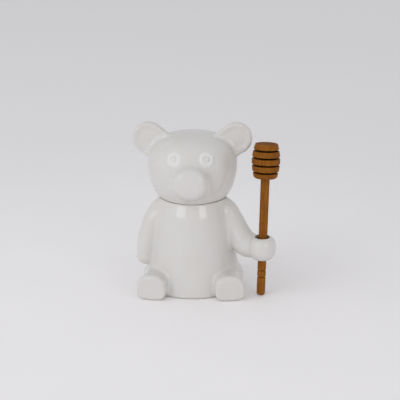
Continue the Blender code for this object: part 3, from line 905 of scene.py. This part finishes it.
    def ear(self, points: Array, side: float) -> Array:
        """Distance to one ear: a rounded tongue in the plane of the ears, dished in front.

        The outline is the distance to a line from the ear's centre down into the head, less a
        radius that grows along it, and the front lies lower where the outline is far away.

        Args:
            points: Where to measure.
            side: 1 for the bear's left and -1 for its right.

        Returns:
            The distances.
        """
        x = side * points[:, 0] - self.ear_centre[0]
        forward = self.ear_centre[1] - points[:, 1]
        z = points[:, 2] - self.ear_centre[2]
        inward = -(x * self.ear_out[0] + z * self.ear_out[1])
        share = np.clip(inward / self.ear_root_depth, 0.0, 1.0)
        off_x = x + share * self.ear_root_depth * self.ear_out[0]
        off_z = z + share * self.ear_root_depth * self.ear_out[1]
        radius = between((self.ear_radius, self.ear_root_radius), share)
        outline = np.hypot(off_x, off_z) - radius
        dish = self.ear_dish * ease((-outline - self.ear_rim) / self.ear_dish_ramp)
        ear = round_meet(outline, forward - self.ear_half_thickness + dish, self.ear_front_edge)
        return round_meet(ear, -forward - self.ear_half_thickness, self.ear_back_edge)

    def collar(self, points: Array) -> Array:
        """Distance to the collar below the seat, a cylinder with a rounded foot.

        Args:
            points: Where to measure, one row each.

        Returns:
            The distances, negative inside.
        """
        around = np.hypot(points[:, 0], points[:, 1])
        z = points[:, 2]
        foot = self.seat - self.collar_depth
        body = round_meet(around - self.collar_radius, foot - z, self.seat_edge)
        return np.maximum(body, z - self.seat - self.seat_thickness)

    def hollow(self, points: Array, head: Array) -> Array:
        """Distance to the inside: a wall's thickness within the head, and the collar's bore.

        Args:
            points: Where to measure, one row each.
            head: Distances to the plain head there.

        Returns:
            The distances, negative inside.
        """
        around = np.hypot(points[:, 0], points[:, 1])
        z = points[:, 2]
        shelf = self.seat + self.seat_thickness
        inside = round_meet(head + self.wall, shelf - z, self.wall / 2.0)
        bore = around - self.collar_radius + self.collar_wall
        bore = np.maximum(bore, z - shelf - self.wall)
        return soft_join(inside, bore, self.seat_edge)

    def distance(self, points: Array) -> Array:
        """Head, snout, ears and collar run together, with the eyes raised and the inside cut out.

        Each ear runs into a slightly smaller head, whose cove the real head's surface cuts to a
        crease. The snout's fillet has a longer reach below, and the ears' have one in front.

        Args:
            points: Where to measure, one row each.

        Returns:
            The distances, negative inside.
        """
        head = self.head(points)
        below = ease((self.seat + self.snout_rise - points[:, 2]) / self.snout_half_height)
        snout = self.snout(points)
        clay = soft_join(head, snout, between(self.snout_reach, below)) - self.eyes(points)
        forward = ease((self.ear_centre[1] - points[:, 1]) / self.ear_half_thickness)
        reach = between(self.ear_reach, forward)
        for side in (-1.0, 1.0):
            cove = soft_join(head + self.ear_sink, self.ear(points, side), reach)
            clay = soft_join(clay, cove, self.ear_crease)
        clay = round_meet(clay, self.seat - points[:, 2], self.seat_edge)
        clay = soft_join(clay, self.collar(points), self.seat_edge)
        return round_meet(clay, -self.hollow(points, head), self.seat_edge)

    def fine_stretches(self) -> tuple[Sequence[Pair], ...]:
        """Along x at the eyes, and along z at the eyes and the seat."""
        eye = self.eye_stations[-1][0]
        across = [(-self.eye_spacing / 2.0, eye), (self.eye_spacing / 2.0, eye)]
        return across, [], [(self.seat + self.eye_rise, eye), (self.seat, self.seat_edge)]

    def bare(self) -> tuple[Pair, ...]:
        """The seat."""
        low, high = self.seat_bare
        return ((self.seat + low, self.seat + high),)


# Turned wood


def turned_surface(profile: Array, sides: int, foot: Vector, axis: Vector) -> Surface:
    """A profile carried round an axis: the grid (r cos t, r sin t, l) stood on its foot.

    A profile that starts or ends on the axis is closed there with a fan of triangles, and one that
    does neither is closed on itself.

    Args:
        profile: Rows of radius, length along the axis, and how dark the wood is painted there.
        sides: How many steps there are to a turn.
        foot: The point on the axis at length 0.
        axis: The axis's unit direction.

    Returns:
        The surface, with a point attribute for the painted darkening.
    """
    turns = np.linspace(0.0, 2.0 * math.pi, sides, endpoint=False)
    on_axis = profile[:, 0] < TINY
    rings = profile[~on_axis]
    x = rings[:, :1] * np.cos(turns)
    y = rings[:, :1] * np.sin(turns)
    z = np.broadcast_to(rings[:, 1:2], x.shape)
    grid = np.stack([x, y, z], axis=-1).reshape(-1, 3)
    groove_shade_and_end_grain = np.repeat(rings[:, 2], sides)
    number = np.arange(len(grid)).reshape(len(rings), sides)
    ahead = np.roll(number, -1, axis=1)
    quads = np.stack([number[:-1], ahead[:-1], ahead[1:], number[1:]], axis=-1).reshape(-1, 4)
    faces = [quads]
    poles = profile[on_axis]
    for pole, ring, step, flip in zip(poles, (0, -1), (0, 1), (True, False)):
        tip = np.full(sides, len(grid) + step)
        fan = np.column_stack([number[ring], ahead[ring], tip])
        faces.append(fan[:, ::-1] if flip else fan)
    grid = np.vstack([grid, np.column_stack([np.zeros((len(poles), 2)), poles[:, 1]])])
    groove_shade_and_end_grain = np.append(groove_shade_and_end_grain, poles[:, 2])
    turn = np.array(axis.to_track_quat("Z", "Y").to_matrix())
    return Surface(grid @ turn.T + np.array(foot), faces, None, {"groove_shade_and_end_grain": groove_shade_and_end_grain})


def arc(radius: float, length: float, bend: float, start: float, end: float) -> Array:
    """Rows of radius and length on an arc, its angles in degrees from outward towards up."""
    angles = np.radians(np.linspace(start, end, ARC_STEPS + 1))
    return np.column_stack([radius + bend * np.cos(angles), length + bend * np.sin(angles)])


def supported(profile: Array, longest: float) -> Array:
    """The profile with more rows on its long stretches, so that smooth shading stays true there.

    Args:
        profile: Rows that start with radius and length.
        longest: The most that two rows may lie apart.

    Returns:
        The longer profile.
    """
    lengths = np.linalg.norm(np.diff(profile[:, :2], axis=0), axis=1)
    counts = np.maximum(np.ceil(lengths / longest).astype(int), 1)
    rows = [
        a + (b - a) * np.linspace(0.0, 1.0, n, endpoint=False)[:, None]
        for a, b, n in zip(profile[:-1], profile[1:], counts)
    ]
    return np.vstack([*rows, profile[-1:]])


@dataclass
class Dipper:
    """The wooden dipper: a head of discs along a core, bored for its tapered stick.

    Lengths run from the tip at 0 up the axis. Painted darkening is 1 on the core between the discs
    and fades across the discs' faces to their rims: painted shade in the grooves. A little of it
    darkens the head's end grain, which is darker wood, and the turned rings near the tip, as painted
    shade in their dents.
    """

    foot: Vector
    axis: Vector
    length: float = 0.1199
    disc_count: int = 5
    disc_thickness: float = 0.00425
    groove_width: float = 0.0014
    head_radius: float = 0.0109
    end_radius: float = 0.0086
    core_radius: float = 0.0056
    edge: float = 0.00045
    shoulder_edge: float = 0.0026
    top_bevel: float = 0.00135
    tenon: float = 0.0120
    joint_gap: float = 0.0003
    top_radius: float = 0.00345
    tip_radius: float = 0.0033
    tip_edge: float = 0.0018
    ring_heights: tuple[float, ...] = (0.0146, 0.0199)
    ring_width: float = 0.0014
    ring_depth: float = 0.00060
    # How dark the rings' dents are painted: painted shade.
    ring_shade: float = 0.24
    ring_steps: int = 8
    end_grain: float = 0.18
    sides: int = 128
    longest: float = 0.0006

    @property
    def head_start(self) -> float:
        """The length from the tip at which the head begins."""
        grooves = (self.disc_count - 1) * self.groove_width
        return self.length - self.disc_count * self.disc_thickness - grooves

    def barrel(self, length: float) -> float:
        """The head's outer radius: fullest in the middle and falling as a parabola.

        Args:
            length: Where along the axis.

        Returns:
            The radius there.
        """
        half = (self.length - self.head_start) / 2.0
        off = (length - self.length + half) / half
        return self.head_radius - (self.head_radius - self.end_radius) * off**2

    def disc(self, low: float, high: float, first: bool) -> Array:
        """A disc's rim from its underside to its top.

        Args:
            low: The length at its underside.
            high: The length at its top.
            first: Whether it is the head's shoulder, which is rounder below.

        Returns:
            Rows of radius, length and painted darkening.
        """
        below = self.shoulder_edge if first else self.edge
        under = arc(self.barrel(low + below) - below, low + below, below, -90.0, 0.0)
        last = high - self.edge
        over = arc(self.barrel(last) - self.edge, last, self.edge, 0.0, 90.0)
        rim = np.vstack([under, over])
        return np.column_stack([rim, np.zeros(len(rim))])

    def head(self) -> Surface:
        """The head: bore, rounded shoulder, discs, grooves darkened with painted shade, darker end
        grain.

        Returns:
            Its surface, turned from that profile.
        """
        start = self.head_start
        bore = self.top_radius + self.joint_gap
        end = start + self.tenon + self.joint_gap
        pitch = self.disc_thickness + self.groove_width
        parts = [np.array([(0.0, end, 0.0), (bore, end, 0.0), (bore, start, 0.0)])]
        for number in range(self.disc_count):
            low = start + number * pitch
            if number:
                # Painted shade: the groove's floor is darkest, and the discs' faces fade from it to
                # their rims.
                groove = [(self.core_radius, low - self.groove_width, 1.0)]
                parts.append(np.array([*groove, (self.core_radius, low, 1.0)]))
            parts.append(self.disc(low, low + self.disc_thickness, number == 0))
        top = [(self.end_radius - self.top_bevel, self.length, self.end_grain)]
        parts.append(np.array([*top, (0.0, self.length, self.end_grain)]))
        profile = supported(np.vstack(parts), self.longest)
        return turned_surface(profile, self.sides, self.foot, self.axis)

    def stick_radius(self, length: Array) -> Array:
        """The stick's radius at a length, from the tip's to the top's."""
        share = np.minimum(length / self.head_start, 1.0)
        return between((self.tip_radius, self.top_radius), share)

    def stick(self) -> Surface:
        """The stick: a rounded tip, turned rings, a long taper and the tenon in the head.

        A ring's depth follows a half wave of a cosine across its width, and so does the painted
        shade in its dent.

        Returns:
            Its surface, turned from that profile.
        """
        tip = arc(self.tip_radius - self.tip_edge, self.tip_edge, self.tip_edge, -90.0, 0.0)
        parts = [np.array([(0.0, 0.0, 0.0)]), np.column_stack([tip, np.zeros(len(tip))])]
        for height in self.ring_heights:
            across = np.linspace(-1.0, 1.0, self.ring_steps + 1)
            dent = np.cos(across * math.pi / 2.0)
            length = height + across * self.ring_width / 2.0
            radius = self.stick_radius(length) - self.ring_depth * dent
            # Painted shade in the ring's dent.
            parts.append(np.column_stack([radius, length, self.ring_shade * dent]))
        top = self.head_start + self.tenon
        rounded = arc(self.top_radius - self.edge, top - self.edge, self.edge, 0.0, 90.0)
        parts.append(np.column_stack([rounded, np.zeros(len(rounded))]))
        parts.append(np.array([(0.0, top, 0.0)]))
        profile = supported(np.vstack(parts), self.longest)
        return turned_surface(profile, self.sides // 2, self.foot, self.axis)


# Materials


class Value:
    """A socket's value in a node tree; the operators on it add Math nodes."""

    def __init__(self, nodes: "Nodes", socket: bpy.types.NodeSocket) -> None:
        """Wraps one output socket."""
        self.nodes = nodes
        self.socket = socket

    def math(self, operation: str, *others: "Value | float") -> "Value":
        """This value and others through one Math node."""
        values = {i: v for i, v in enumerate((self, *others))}
        return self.nodes.add("ShaderNodeMath", {"operation": operation}, values)

    def __add__(self, other: "Value | float") -> "Value":
        """This value plus another."""
        return self.math("ADD", other)

    __radd__ = __add__

    def __mul__(self, other: "Value | float") -> "Value":
        """This value times another."""
        return self.math("MULTIPLY", other)

    __rmul__ = __mul__

    def __sub__(self, other: "Value | float") -> "Value":
        """This value less another."""
        return self.math("SUBTRACT", other)

    def __rsub__(self, other: float) -> "Value":
        """A number less this value."""
        return self * -1.0 + other

    def step(self, start: float, end: float) -> "Value":
        """A smooth step of this value.

        Args:
            start: Where it is 0.
            end: Where it is 1, above or below the start.

        Returns:
            The step's value.
        """
        low, high, flip = min(start, end), max(start, end), end < start
        sockets = {"Value": self, "From Min": low, "From Max": high}
        sockets |= {"To Min": float(flip), "To Max": float(not flip)}
        return self.nodes.add("ShaderNodeMapRange", {"interpolation_type": "SMOOTHSTEP"}, sockets)


class Nodes:
    """A material's or the world's node tree, with one method that adds any node."""

    def __init__(self, owner: bpy.types.Material | bpy.types.World) -> None:
        """Gives the material or world an empty tree."""
        owner.use_nodes = True
        self.owner = owner
        self.tree = owner.node_tree
        self.tree.nodes.clear()

    def add(
        self,
        kind: str,
        settings: Mapping[str, object] | None = None,
        sockets: Mapping[str | int, object] | None = None,
        output: str | int = 0,
    ) -> Value:
        """Adds a node.

        Args:
            kind: The node's type.
            settings: The node's own settings, set first.
            sockets: Input sockets' names or numbers, with a value or a link for each.
            output: The output socket to return.

        Returns:
            The output socket's value.
        """
        node = self.tree.nodes.new(kind)
        for name, value in (settings or {}).items():
            setattr(node, name, value)
        for name, value in (sockets or {}).items():
            if isinstance(value, Value):
                self.tree.links.new(value.socket, node.inputs[name])
            else:
                node.inputs[name].default_value = value
        return Value(self, node.outputs[output])

    def object_point(self) -> Value:
        """The point on the piece, in metres."""
        return self.add("ShaderNodeTexCoord", output="Object")

    def attribute(self, name: str) -> Value:
        """A point attribute's value."""
        return self.add("ShaderNodeAttribute", {"attribute_name": name}, output="Fac")

    def parts(self, vector: Value) -> tuple[Value, Value, Value]:
        """A vector's three coordinates."""
        split = self.add("ShaderNodeSeparateXYZ", None, {0: vector})
        sockets = split.socket.node.outputs
        return Value(self, sockets[0]), Value(self, sockets[1]), Value(self, sockets[2])

    def noise(
        self, vector: Value, scale: float, detail: float = 2.0, roughness: float = 0.5
    ) -> Value:
        """Noise between 0 and 1, with its scale in repeats to the metre."""
        sockets = {"Vector": vector, "Scale": scale, "Detail": detail, "Roughness": roughness}
        return self.add("ShaderNodeTexNoise", None, sockets)

    def mix(self, factor: Value | float, a: Value | Colour, b: Value | Colour) -> Value:
        """Two colours mixed by a factor, on the Mix node's colour sockets 6 and 7 and output 2."""
        first, second = (c if isinstance(c, Value) else (*c, 1.0) for c in (a, b))
        return self.add("ShaderNodeMix", {"data_type": "RGBA"}, {0: factor, 6: first, 7: second}, 2)

    def bump(self, height: Value) -> Value:
        """The surface's way out, tilted by the slopes of a height in metres."""
        return self.add("ShaderNodeBump", None, {"Height": height, "Distance": 1.0})

    def seen(self) -> Value:
        """1 for what is seen straight, mirrored or through a clear piece, and 0 for light."""
        rays = ("Is Camera Ray", "Is Glossy Ray", "Is Transmission Ray")
        camera, glossy, clear = (self.add("ShaderNodeLightPath", output=ray) for ray in rays)
        return camera + glossy + clear

    def end(self, kind: str, surface: Value) -> None:
        """Ends the tree with an output node that shows this surface."""
        output = self.tree.nodes.new(kind)
        self.tree.links.new(surface.socket, output.inputs["Surface"])

    def finish(self, sockets: Mapping[str, object]) -> bpy.types.Material:
        """Ends the tree with a Principled shader of these values and returns the material."""
        self.end("ShaderNodeOutputMaterial", self.add("ShaderNodeBsdfPrincipled", None, sockets))
        return self.owner


@dataclass(frozen=True)
class Glaze:
    """Glossy pale glaze over light clay, thin on edges, and painted lighter in hollows: thicker
    glaze there, with a painted highlight.

    The clay is bare in level bands where a piece stands or is seated. Scales are a noise's repeats
    to the metre, and reliefs are the heights of its hills. Edges and hollows are told by how much
    the surface bends, to the millimetre. Covers and gloss are values where the noise is 0 and 1.
    """

    name: str
    bare: tuple[Pair, ...]
    colour: Colour = (0.700, 0.680, 0.660)
    warm: Colour = (0.680, 0.645, 0.605)
    # Lighter glaze of the hollows: thicker glaze, and a painted highlight.
    pooled_and_highlight: Colour = (0.735, 0.727, 0.712)
    # Painted highlight on the eyes, over whiter glaze in their rings.
    white: Colour = (0.800, 0.790, 0.770)
    clay: Colour = (0.42, 0.35, 0.29)
    # Dark brown of the painted shade and painted reflection in the bead's hole.
    hole_shade_colour: Colour = (0.070, 0.036, 0.015)
    line_wander: float = 0.00022
    line_blur: float = 0.0001
    cloud_scale: float = 55.0
    ripple_scale: float = 210.0
    skin_scale: float = 900.0
    grit_scale: float = 5200.0
    clouded: Pair = (0.35, 0.70)
    cloud_warmth: float = 0.5
    edges: Pair = (0.25, 1.4)
    edge_warmth: float = 0.55
    hollows: Pair = (-0.04, -0.45)
    pooling_and_highlight: float = 0.8
    eye_light_cover: Pair = (0.55, 1.15)
    hole_shade_cover: Pair = (0.65, 1.15)
    gloss: Pair = (0.062, 0.112)
    bare_roughness: float = 0.6
    hole_roughness: float = 0.3
    ripple_relief: float = 0.000030
    skin_relief: float = 0.0000022
    grit_relief: float = 0.00003

    def material(self) -> bpy.types.Material:
        """The glaze's material."""
        nodes = Nodes(bpy.data.materials.new(self.name))
        point = nodes.object_point()
        clouds = nodes.noise(point, self.cloud_scale, detail=3.0)
        ripple = nodes.noise(point, self.ripple_scale)
        skin = nodes.noise(point, self.skin_scale)
        grit = nodes.noise(point, self.grit_scale)
        height = nodes.parts(point)[2] + (ripple - 0.5) * self.line_wander
        blur = self.line_blur
        bands = [height.step(a - blur, a) * height.step(b, b - blur) for a, b in self.bare]
        bare = sum(bands[1:], bands[0])
        bending = nodes.attribute("bending")
        hole_shade = nodes.attribute("hole_shade")
        eye_light = nodes.attribute("eye_light") * between(self.eye_light_cover, clouds)
        colour = nodes.mix(clouds.step(*self.clouded) * self.cloud_warmth, self.colour, self.warm)
        colour = nodes.mix(bending.step(*self.edges) * self.edge_warmth, colour, self.warm)
        # Hollows are painted lighter: thicker glaze there, and a painted highlight in their fillets.
        colour = nodes.mix(bending.step(*self.hollows) * self.pooling_and_highlight, colour, self.pooled_and_highlight)
        # Painted highlight: the eyes' dots and rings are mixed towards white.
        colour = nodes.mix(eye_light, colour, self.white)
        colour = nodes.mix(bare, colour, self.clay)
        # Painted shade and a painted reflection of the stick: the hole's wall is mixed towards dark
        # brown.
        colour = nodes.mix(hole_shade * between(self.hole_shade_cover, ripple), colour, self.hole_shade_colour)
        fine_relief = skin * self.skin_relief + bare * grit * self.grit_relief
        rough = bare * self.bare_roughness + hole_shade * self.hole_roughness
        return nodes.finish(
            {
                "Base Color": colour,
                "Roughness": between(self.gloss, skin) + rough,
                "Normal": nodes.bump(ripple * self.ripple_relief + fine_relief),
                "IOR": 1.52,
            }
        )


@dataclass(frozen=True)
class OiledWood:
    """Turned mid-brown wood with fine long grain, dark pores, and painted shade in its grooves.

    Scales are a noise's repeats to the metre. The grain is stretched along the dipper, and its
    rings lie round a pith beside it. The streaks leave light wood where the painted darkening is
    weak.
    The tone's shares are those of the rings, the fibre and the blotches, and the roughness is the
    value where the fibre's noise is 0 and 1.
    """

    name: str
    foot: Vector
    axis: Vector
    light: Colour = (0.335, 0.118, 0.009)
    dark: Colour = (0.178, 0.055, 0.003)
    # Near black of the painted shade in the grooves and rings, also used for the darker end grain.
    shade_and_end_grain_colour: Colour = (0.014, 0.006, 0.003)
    stretch: Triple = (1.0, 1.0, 0.055)
    pith: Pair = (0.019, -0.008)
    ring_pitch: float = 0.0021
    ring_warp: float = 0.0022
    warp_scale: float = 160.0
    fibre_scale: float = 1500.0
    pore_scale: float = 4200.0
    blotch_scale: float = 120.0
    streak_scale: float = 1400.0
    streak_turn: Triple = (0.0, 0.0, 0.6)
    streak_stretch: Triple = (1.0, 0.16, 0.5)
    fibres: Pair = (0.25, 0.75)
    pores: Pair = (0.60, 0.72)
    blotches: Pair = (0.3, 0.7)
    streaks: Pair = (0.46, 0.62)
    darkening_steps: Pair = (0.02, 0.42)
    groove_roughness_steps: Pair = (0.0, 0.16)
    tone_shares: Triple = (0.30, 0.45, 0.30)
    pore_darkness: float = 0.6
    streak_strength: float = 1.05
    roughness: Pair = (0.50, 0.64)
    pore_roughness: float = 0.15
    groove_roughness: float = 0.3
    fibre_relief: float = 0.00006
    pore_relief: float = 0.00008

    def material(self) -> bpy.types.Material:
        """The wood's material, on coordinates that lie along the dipper."""
        nodes = Nodes(bpy.data.materials.new(self.name))
        turn = self.axis.to_track_quat("Z", "Y").to_euler()
        laid = nodes.add(
            "ShaderNodeMapping",
            {"vector_type": "TEXTURE"},
            {"Vector": nodes.object_point(), "Location": self.foot, "Rotation": turn},
        )
        grain = nodes.add(
            "ShaderNodeVectorMath", {"operation": "MULTIPLY"}, {0: laid, 1: self.stretch}
        )
        x, y, _ = nodes.parts(laid)
        squares = (x - self.pith[0]).math("POWER", 2.0) + (y - self.pith[1]).math("POWER", 2.0)
        warp = nodes.noise(grain, self.warp_scale, detail=3.0) * self.ring_warp
        from_pith = squares.math("SQRT") + warp
        rings = (from_pith * (2.0 * math.pi / self.ring_pitch)).math("SINE") * 0.5 + 0.5
        fibre = nodes.noise(grain, self.fibre_scale, detail=4.0, roughness=0.6)
        pores = nodes.noise(grain, self.pore_scale, detail=1.0).step(*self.pores)
        blotch = nodes.noise(laid, self.blotch_scale, detail=3.0)
        of_rings, of_fibre, of_blotches = self.tone_shares
        tone = rings * of_rings + fibre.step(*self.fibres) * of_fibre
        tone = tone + blotch.step(*self.blotches) * of_blotches
        colour = nodes.mix(tone, self.light, self.dark)
        colour = nodes.mix(pores * self.pore_darkness, colour, self.dark)
        groove_shade_and_end_grain = nodes.attribute("groove_shade_and_end_grain")
        across = nodes.add(
            "ShaderNodeMapping",
            None,
            {"Vector": laid, "Rotation": self.streak_turn, "Scale": self.streak_stretch},
        )
        streaks = nodes.noise(across, self.streak_scale).step(*self.streaks)
        # Painted shade: deep in the grooves and in the rings' dents the wood is mixed towards near
        # black; the end grain is darkened a little.
        groove_darkening = groove_shade_and_end_grain.step(*self.darkening_steps) * (1.0 - streaks * (self.streak_strength - groove_shade_and_end_grain))
        rough = pores * self.pore_roughness + groove_shade_and_end_grain.step(*self.groove_roughness_steps) * self.groove_roughness
        return nodes.finish(
            {
                "Base Color": nodes.mix(groove_darkening, colour, self.shade_and_end_grain_colour),
                "Roughness": between(self.roughness, fibre) + rough,
                "Normal": nodes.bump(fibre * self.fibre_relief - pores * self.pore_relief),
                "Specular IOR Level": 0.15,
            }
        )


# Stage


def direction(turn: float, pitch: float) -> Vector:
    """The way from the pot to a camera or lamp.

    Args:
        turn: Degrees from the bear's front towards its left.
        pitch: Degrees above the level.

    Returns:
        The unit vector.
    """
    a, b = math.radians(turn), math.radians(pitch)
    return Vector((math.sin(a) * math.cos(b), -math.cos(a) * math.cos(b), math.sin(b)))


@dataclass(frozen=True)
class Lamp:
    """A rectangular soft box that faces the pot, its glow as seen, where 1 is white.

    The glaze mirrors it only where that is said.
    """

    name: str
    turn: float
    pitch: float
    away: float
    size: Pair
    glow: float
    colour: Colour
    mirrored: bool = True
    centre: Vector = Vector((0.0, 0.0, 0.065))

    def build(self) -> None:
        """Adds the lamp."""
        data = bpy.data.lights.new(self.name, "AREA")
        data.shape = "RECTANGLE"
        data.size, data.size_y = self.size
        data.energy = self.glow * math.pi * self.size[0] * self.size[1]
        data.color = self.colour
        lamp = bpy.data.objects.new(self.name, data)
        way = direction(self.turn, self.pitch)
        lamp.location = self.centre + way * self.away
        lamp.rotation_euler = (-way).to_track_quat("-Z", "Y").to_euler()
        lamp.visible_glossy = self.mirrored
        bpy.context.scene.collection.objects.link(lamp)


@dataclass
class Studio:
    """The camera, the floor and the soft lights.

    The camera was fitted to the picture's outlines, and its turn then set. Angles are in
    degrees, and the scale is in pixels to the metre at the aim, on a picture of the given width.
    The sky's pair is its brightness at the level and overhead.
    """

    aim: Vector = Vector((0.0056, 0.0, 0.0690))
    turn: float = 3.0
    pitch: float = 17.0
    roll: float = -0.3
    away: float = 0.85
    scale: float = 1260.0
    picture_width: float = 400.0
    floor_colour: Colour = (0.910, 0.885, 0.892)
    far_floor_colour: Colour = (0.825, 0.804, 0.815)
    floor_fades: Pair = (0.06, 0.50)
    floor_radius: float = 6.0
    floor_drop: float = 0.00005
    floor_glow: float = 0.09
    paper_scale: float = 18.0
    paper_shade: float = 0.97
    paper_share: float = 0.4
    sky_colour: Colour = (0.97, 0.985, 1.0)
    sky: Pair = (0.98, 0.45)
    backdrop: Colour = (0.655, 0.648, 0.668)
    lamps: tuple[Lamp, ...] = (
        Lamp("left_soft_box", -35.5, 16.2, 0.90, (0.45, 0.235), 2.05, (0.97, 0.985, 1.0)),
        Lamp("right_soft_box", 34.5, 16.2, 0.90, (0.35, 0.235), 2.6, (1.0, 0.985, 0.96)),
        Lamp("broad_key", -62.0, 38.0, 1.60, (1.5, 1.3), 0.76, (0.96, 0.98, 1.0), mirrored=False),
    )

    def camera(self) -> None:
        """Places the camera on a long lens, level but for the fitted roll."""
        data = bpy.data.cameras.new("camera")
        data.sensor_width = 36.0
        data.lens = data.sensor_width * self.scale * self.away / self.picture_width
        data.clip_start = 0.05
        data.clip_end = 50.0
        camera = bpy.data.objects.new("camera", data)
        back = direction(self.turn, self.pitch)
        roll = Euler((0.0, 0.0, math.radians(self.roll))).to_quaternion()
        camera.location = self.aim + back * self.away
        camera.rotation_euler = ((-back).to_track_quat("-Z", "Y") @ roll).to_euler()
        bpy.context.scene.collection.objects.link(camera)
        bpy.context.scene.camera = camera

    def world(self) -> None:
        """A plain sky, dimmer overhead, that lights the pot; what is seen is the backdrop."""
        world = bpy.data.worlds.new("studio")
        nodes = Nodes(world)
        rise = nodes.parts(nodes.add("ShaderNodeTexCoord", output="Generated"))[2]
        level, overhead = (tuple(share * c for c in self.sky_colour) for share in self.sky)
        sky = nodes.add("ShaderNodeBackground", None, {"Color": nodes.mix(rise, level, overhead)})
        backdrop = nodes.add("ShaderNodeBackground", None, {"Color": (*self.backdrop, 1.0)})
        shown = nodes.add("ShaderNodeMixShader", None, {0: nodes.seen(), 1: sky, 2: backdrop})
        nodes.end("ShaderNodeOutputWorld", shown)
        bpy.context.scene.world = world

    def floor_surface(self, sides: int = 64, rings: int = 24) -> Surface:
        """A wide disc: rings of points whose radius grows as a square, about its middle.

        Args:
            sides: How many points there are to a ring.
            rings: How many rings there are.

        Returns:
            The surface, facing up.
        """
        turns = np.linspace(0.0, 2.0 * math.pi, sides, endpoint=False)
        reach = self.floor_radius * np.linspace(1.0 / rings, 1.0, rings)[:, None] ** 2
        x, y = reach * np.cos(turns), reach * np.sin(turns)
        grid = np.stack([x, y, np.zeros(x.shape)], axis=-1)
        number = np.arange(sides * rings).reshape(rings, sides)
        ahead = np.roll(number, -1, axis=1)
        quads = np.stack([number[:-1], number[1:], ahead[1:], ahead[:-1]], axis=-1).reshape(-1, 4)
        middle = np.column_stack([number[0], ahead[0], np.full(sides, sides * rings)])
        points = np.vstack([grid.reshape(-1, 3), [(0.0, 0.0, 0.0)]])
        return Surface(points - [0.0, 0.0, self.floor_drop], [quads, middle])

    def floor_material(self) -> bpy.types.Material:
        """Matt pale paper with painted shade that darkens it far from the pot, and a slight painted
        glow where it is seen, which lifts the floor and its shadows.
        """
        nodes = Nodes(bpy.data.materials.new("pale_floor"))
        point = nodes.object_point()
        paper = nodes.noise(point, self.paper_scale, detail=4.0)
        x, y, _ = nodes.parts(point)
        away = (x * x + y * y).math("SQRT")
        # Painted shade: the floor darkens with distance from the pot.
        colour = nodes.mix(away.step(*self.floor_fades), self.floor_colour, self.far_floor_colour)
        shade = tuple(self.paper_shade * c for c in self.far_floor_colour)
        return nodes.finish(
            {
                "Base Color": nodes.mix(paper * self.paper_share, colour, shade),
                "Roughness": 0.75,
                "Specular IOR Level": 0.2,
                # Painted light: the floor glows where it is seen, lifting it and its shadows.
                "Emission Color": nodes.mix(nodes.seen(), (0.0, 0.0, 0.0), self.floor_colour),
                "Emission Strength": self.floor_glow,
            }
        )

    def build(self) -> None:
        """Sets up the whole studio."""
        bpy.context.scene.view_settings.view_transform = "Standard"
        self.camera()
        self.world()
        self.floor_surface().to_object("floor", self.floor_material())
        for lamp in self.lamps:
            lamp.build()


# Assembly


def place(
    surface: Surface,
    name: str,
    material: bpy.types.Material,
    body: Body,
    solids: Sequence[str],
) -> None:
    """Puts a piece into the scene on its body, in place of its solids.

    Args:
        surface: The piece's surface.
        name: The piece's name.
        material: Its material.
        body: The body that it rides on.
        solids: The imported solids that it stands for.
    """
    piece = surface.to_object(name, material)
    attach(piece, body.value)
    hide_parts(*solids)
    count = sum(len(block) * (block.shape[1] - 2) for block in surface.faces)
    LOG.info("%s: %d triangles, rides on %s", name, count, body.value)


def dipper_stand() -> tuple[Vector, Vector]:
    """The dipper's foot and direction, along its joint's axis through the middle of its head.

    The foot is raised until the round edge of the leaning tip just stands on the table: by
    edge (1 - cos lean) + (radius - edge) sin lean.

    Returns:
        The point where the tip's middle stands, and the unit direction up the stick.
    """
    joint = next(j for j in frame["joints"] if j["name"] == "dipper_lift")
    axis = Vector(joint["axis"]).normalized()
    low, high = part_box("dipper_head")
    middle = (low + high) / 2.0
    lean = math.sqrt(1.0 - axis.z**2)
    height = Dipper.tip_edge * (1.0 - axis.z) + (Dipper.tip_radius - Dipper.tip_edge) * lean
    return middle - axis * ((middle.z - height) / axis.z), axis


def main() -> None:
    """Builds the pot, its lid, its dipper and the studio."""
    logging.basicConfig(level=logging.INFO, format="%(name)s: %(message)s")
    for piece, name, glaze in (
        (PotClay(), "glazed_pot", "pot_glaze"),
        (LidClay(), "glazed_head_lid", "lid_glaze"),
    ):
        material = Glaze(glaze, piece.bare()).material()
        place(piece.surface(), name, material, piece.body, piece.solids())
    foot, axis = dipper_stand()
    dipper = Dipper(foot, axis)
    wood = OiledWood("oiled_wood", foot, axis).material()
    place(dipper.head(), "ribbed_dipper_head", wood, Body.DIPPER, ["dipper_head"])
    place(dipper.stick(), "dipper_stick", wood, Body.DIPPER, ["dipper_handle"])
    Studio().build()


if __name__ == "__main__":
    main()
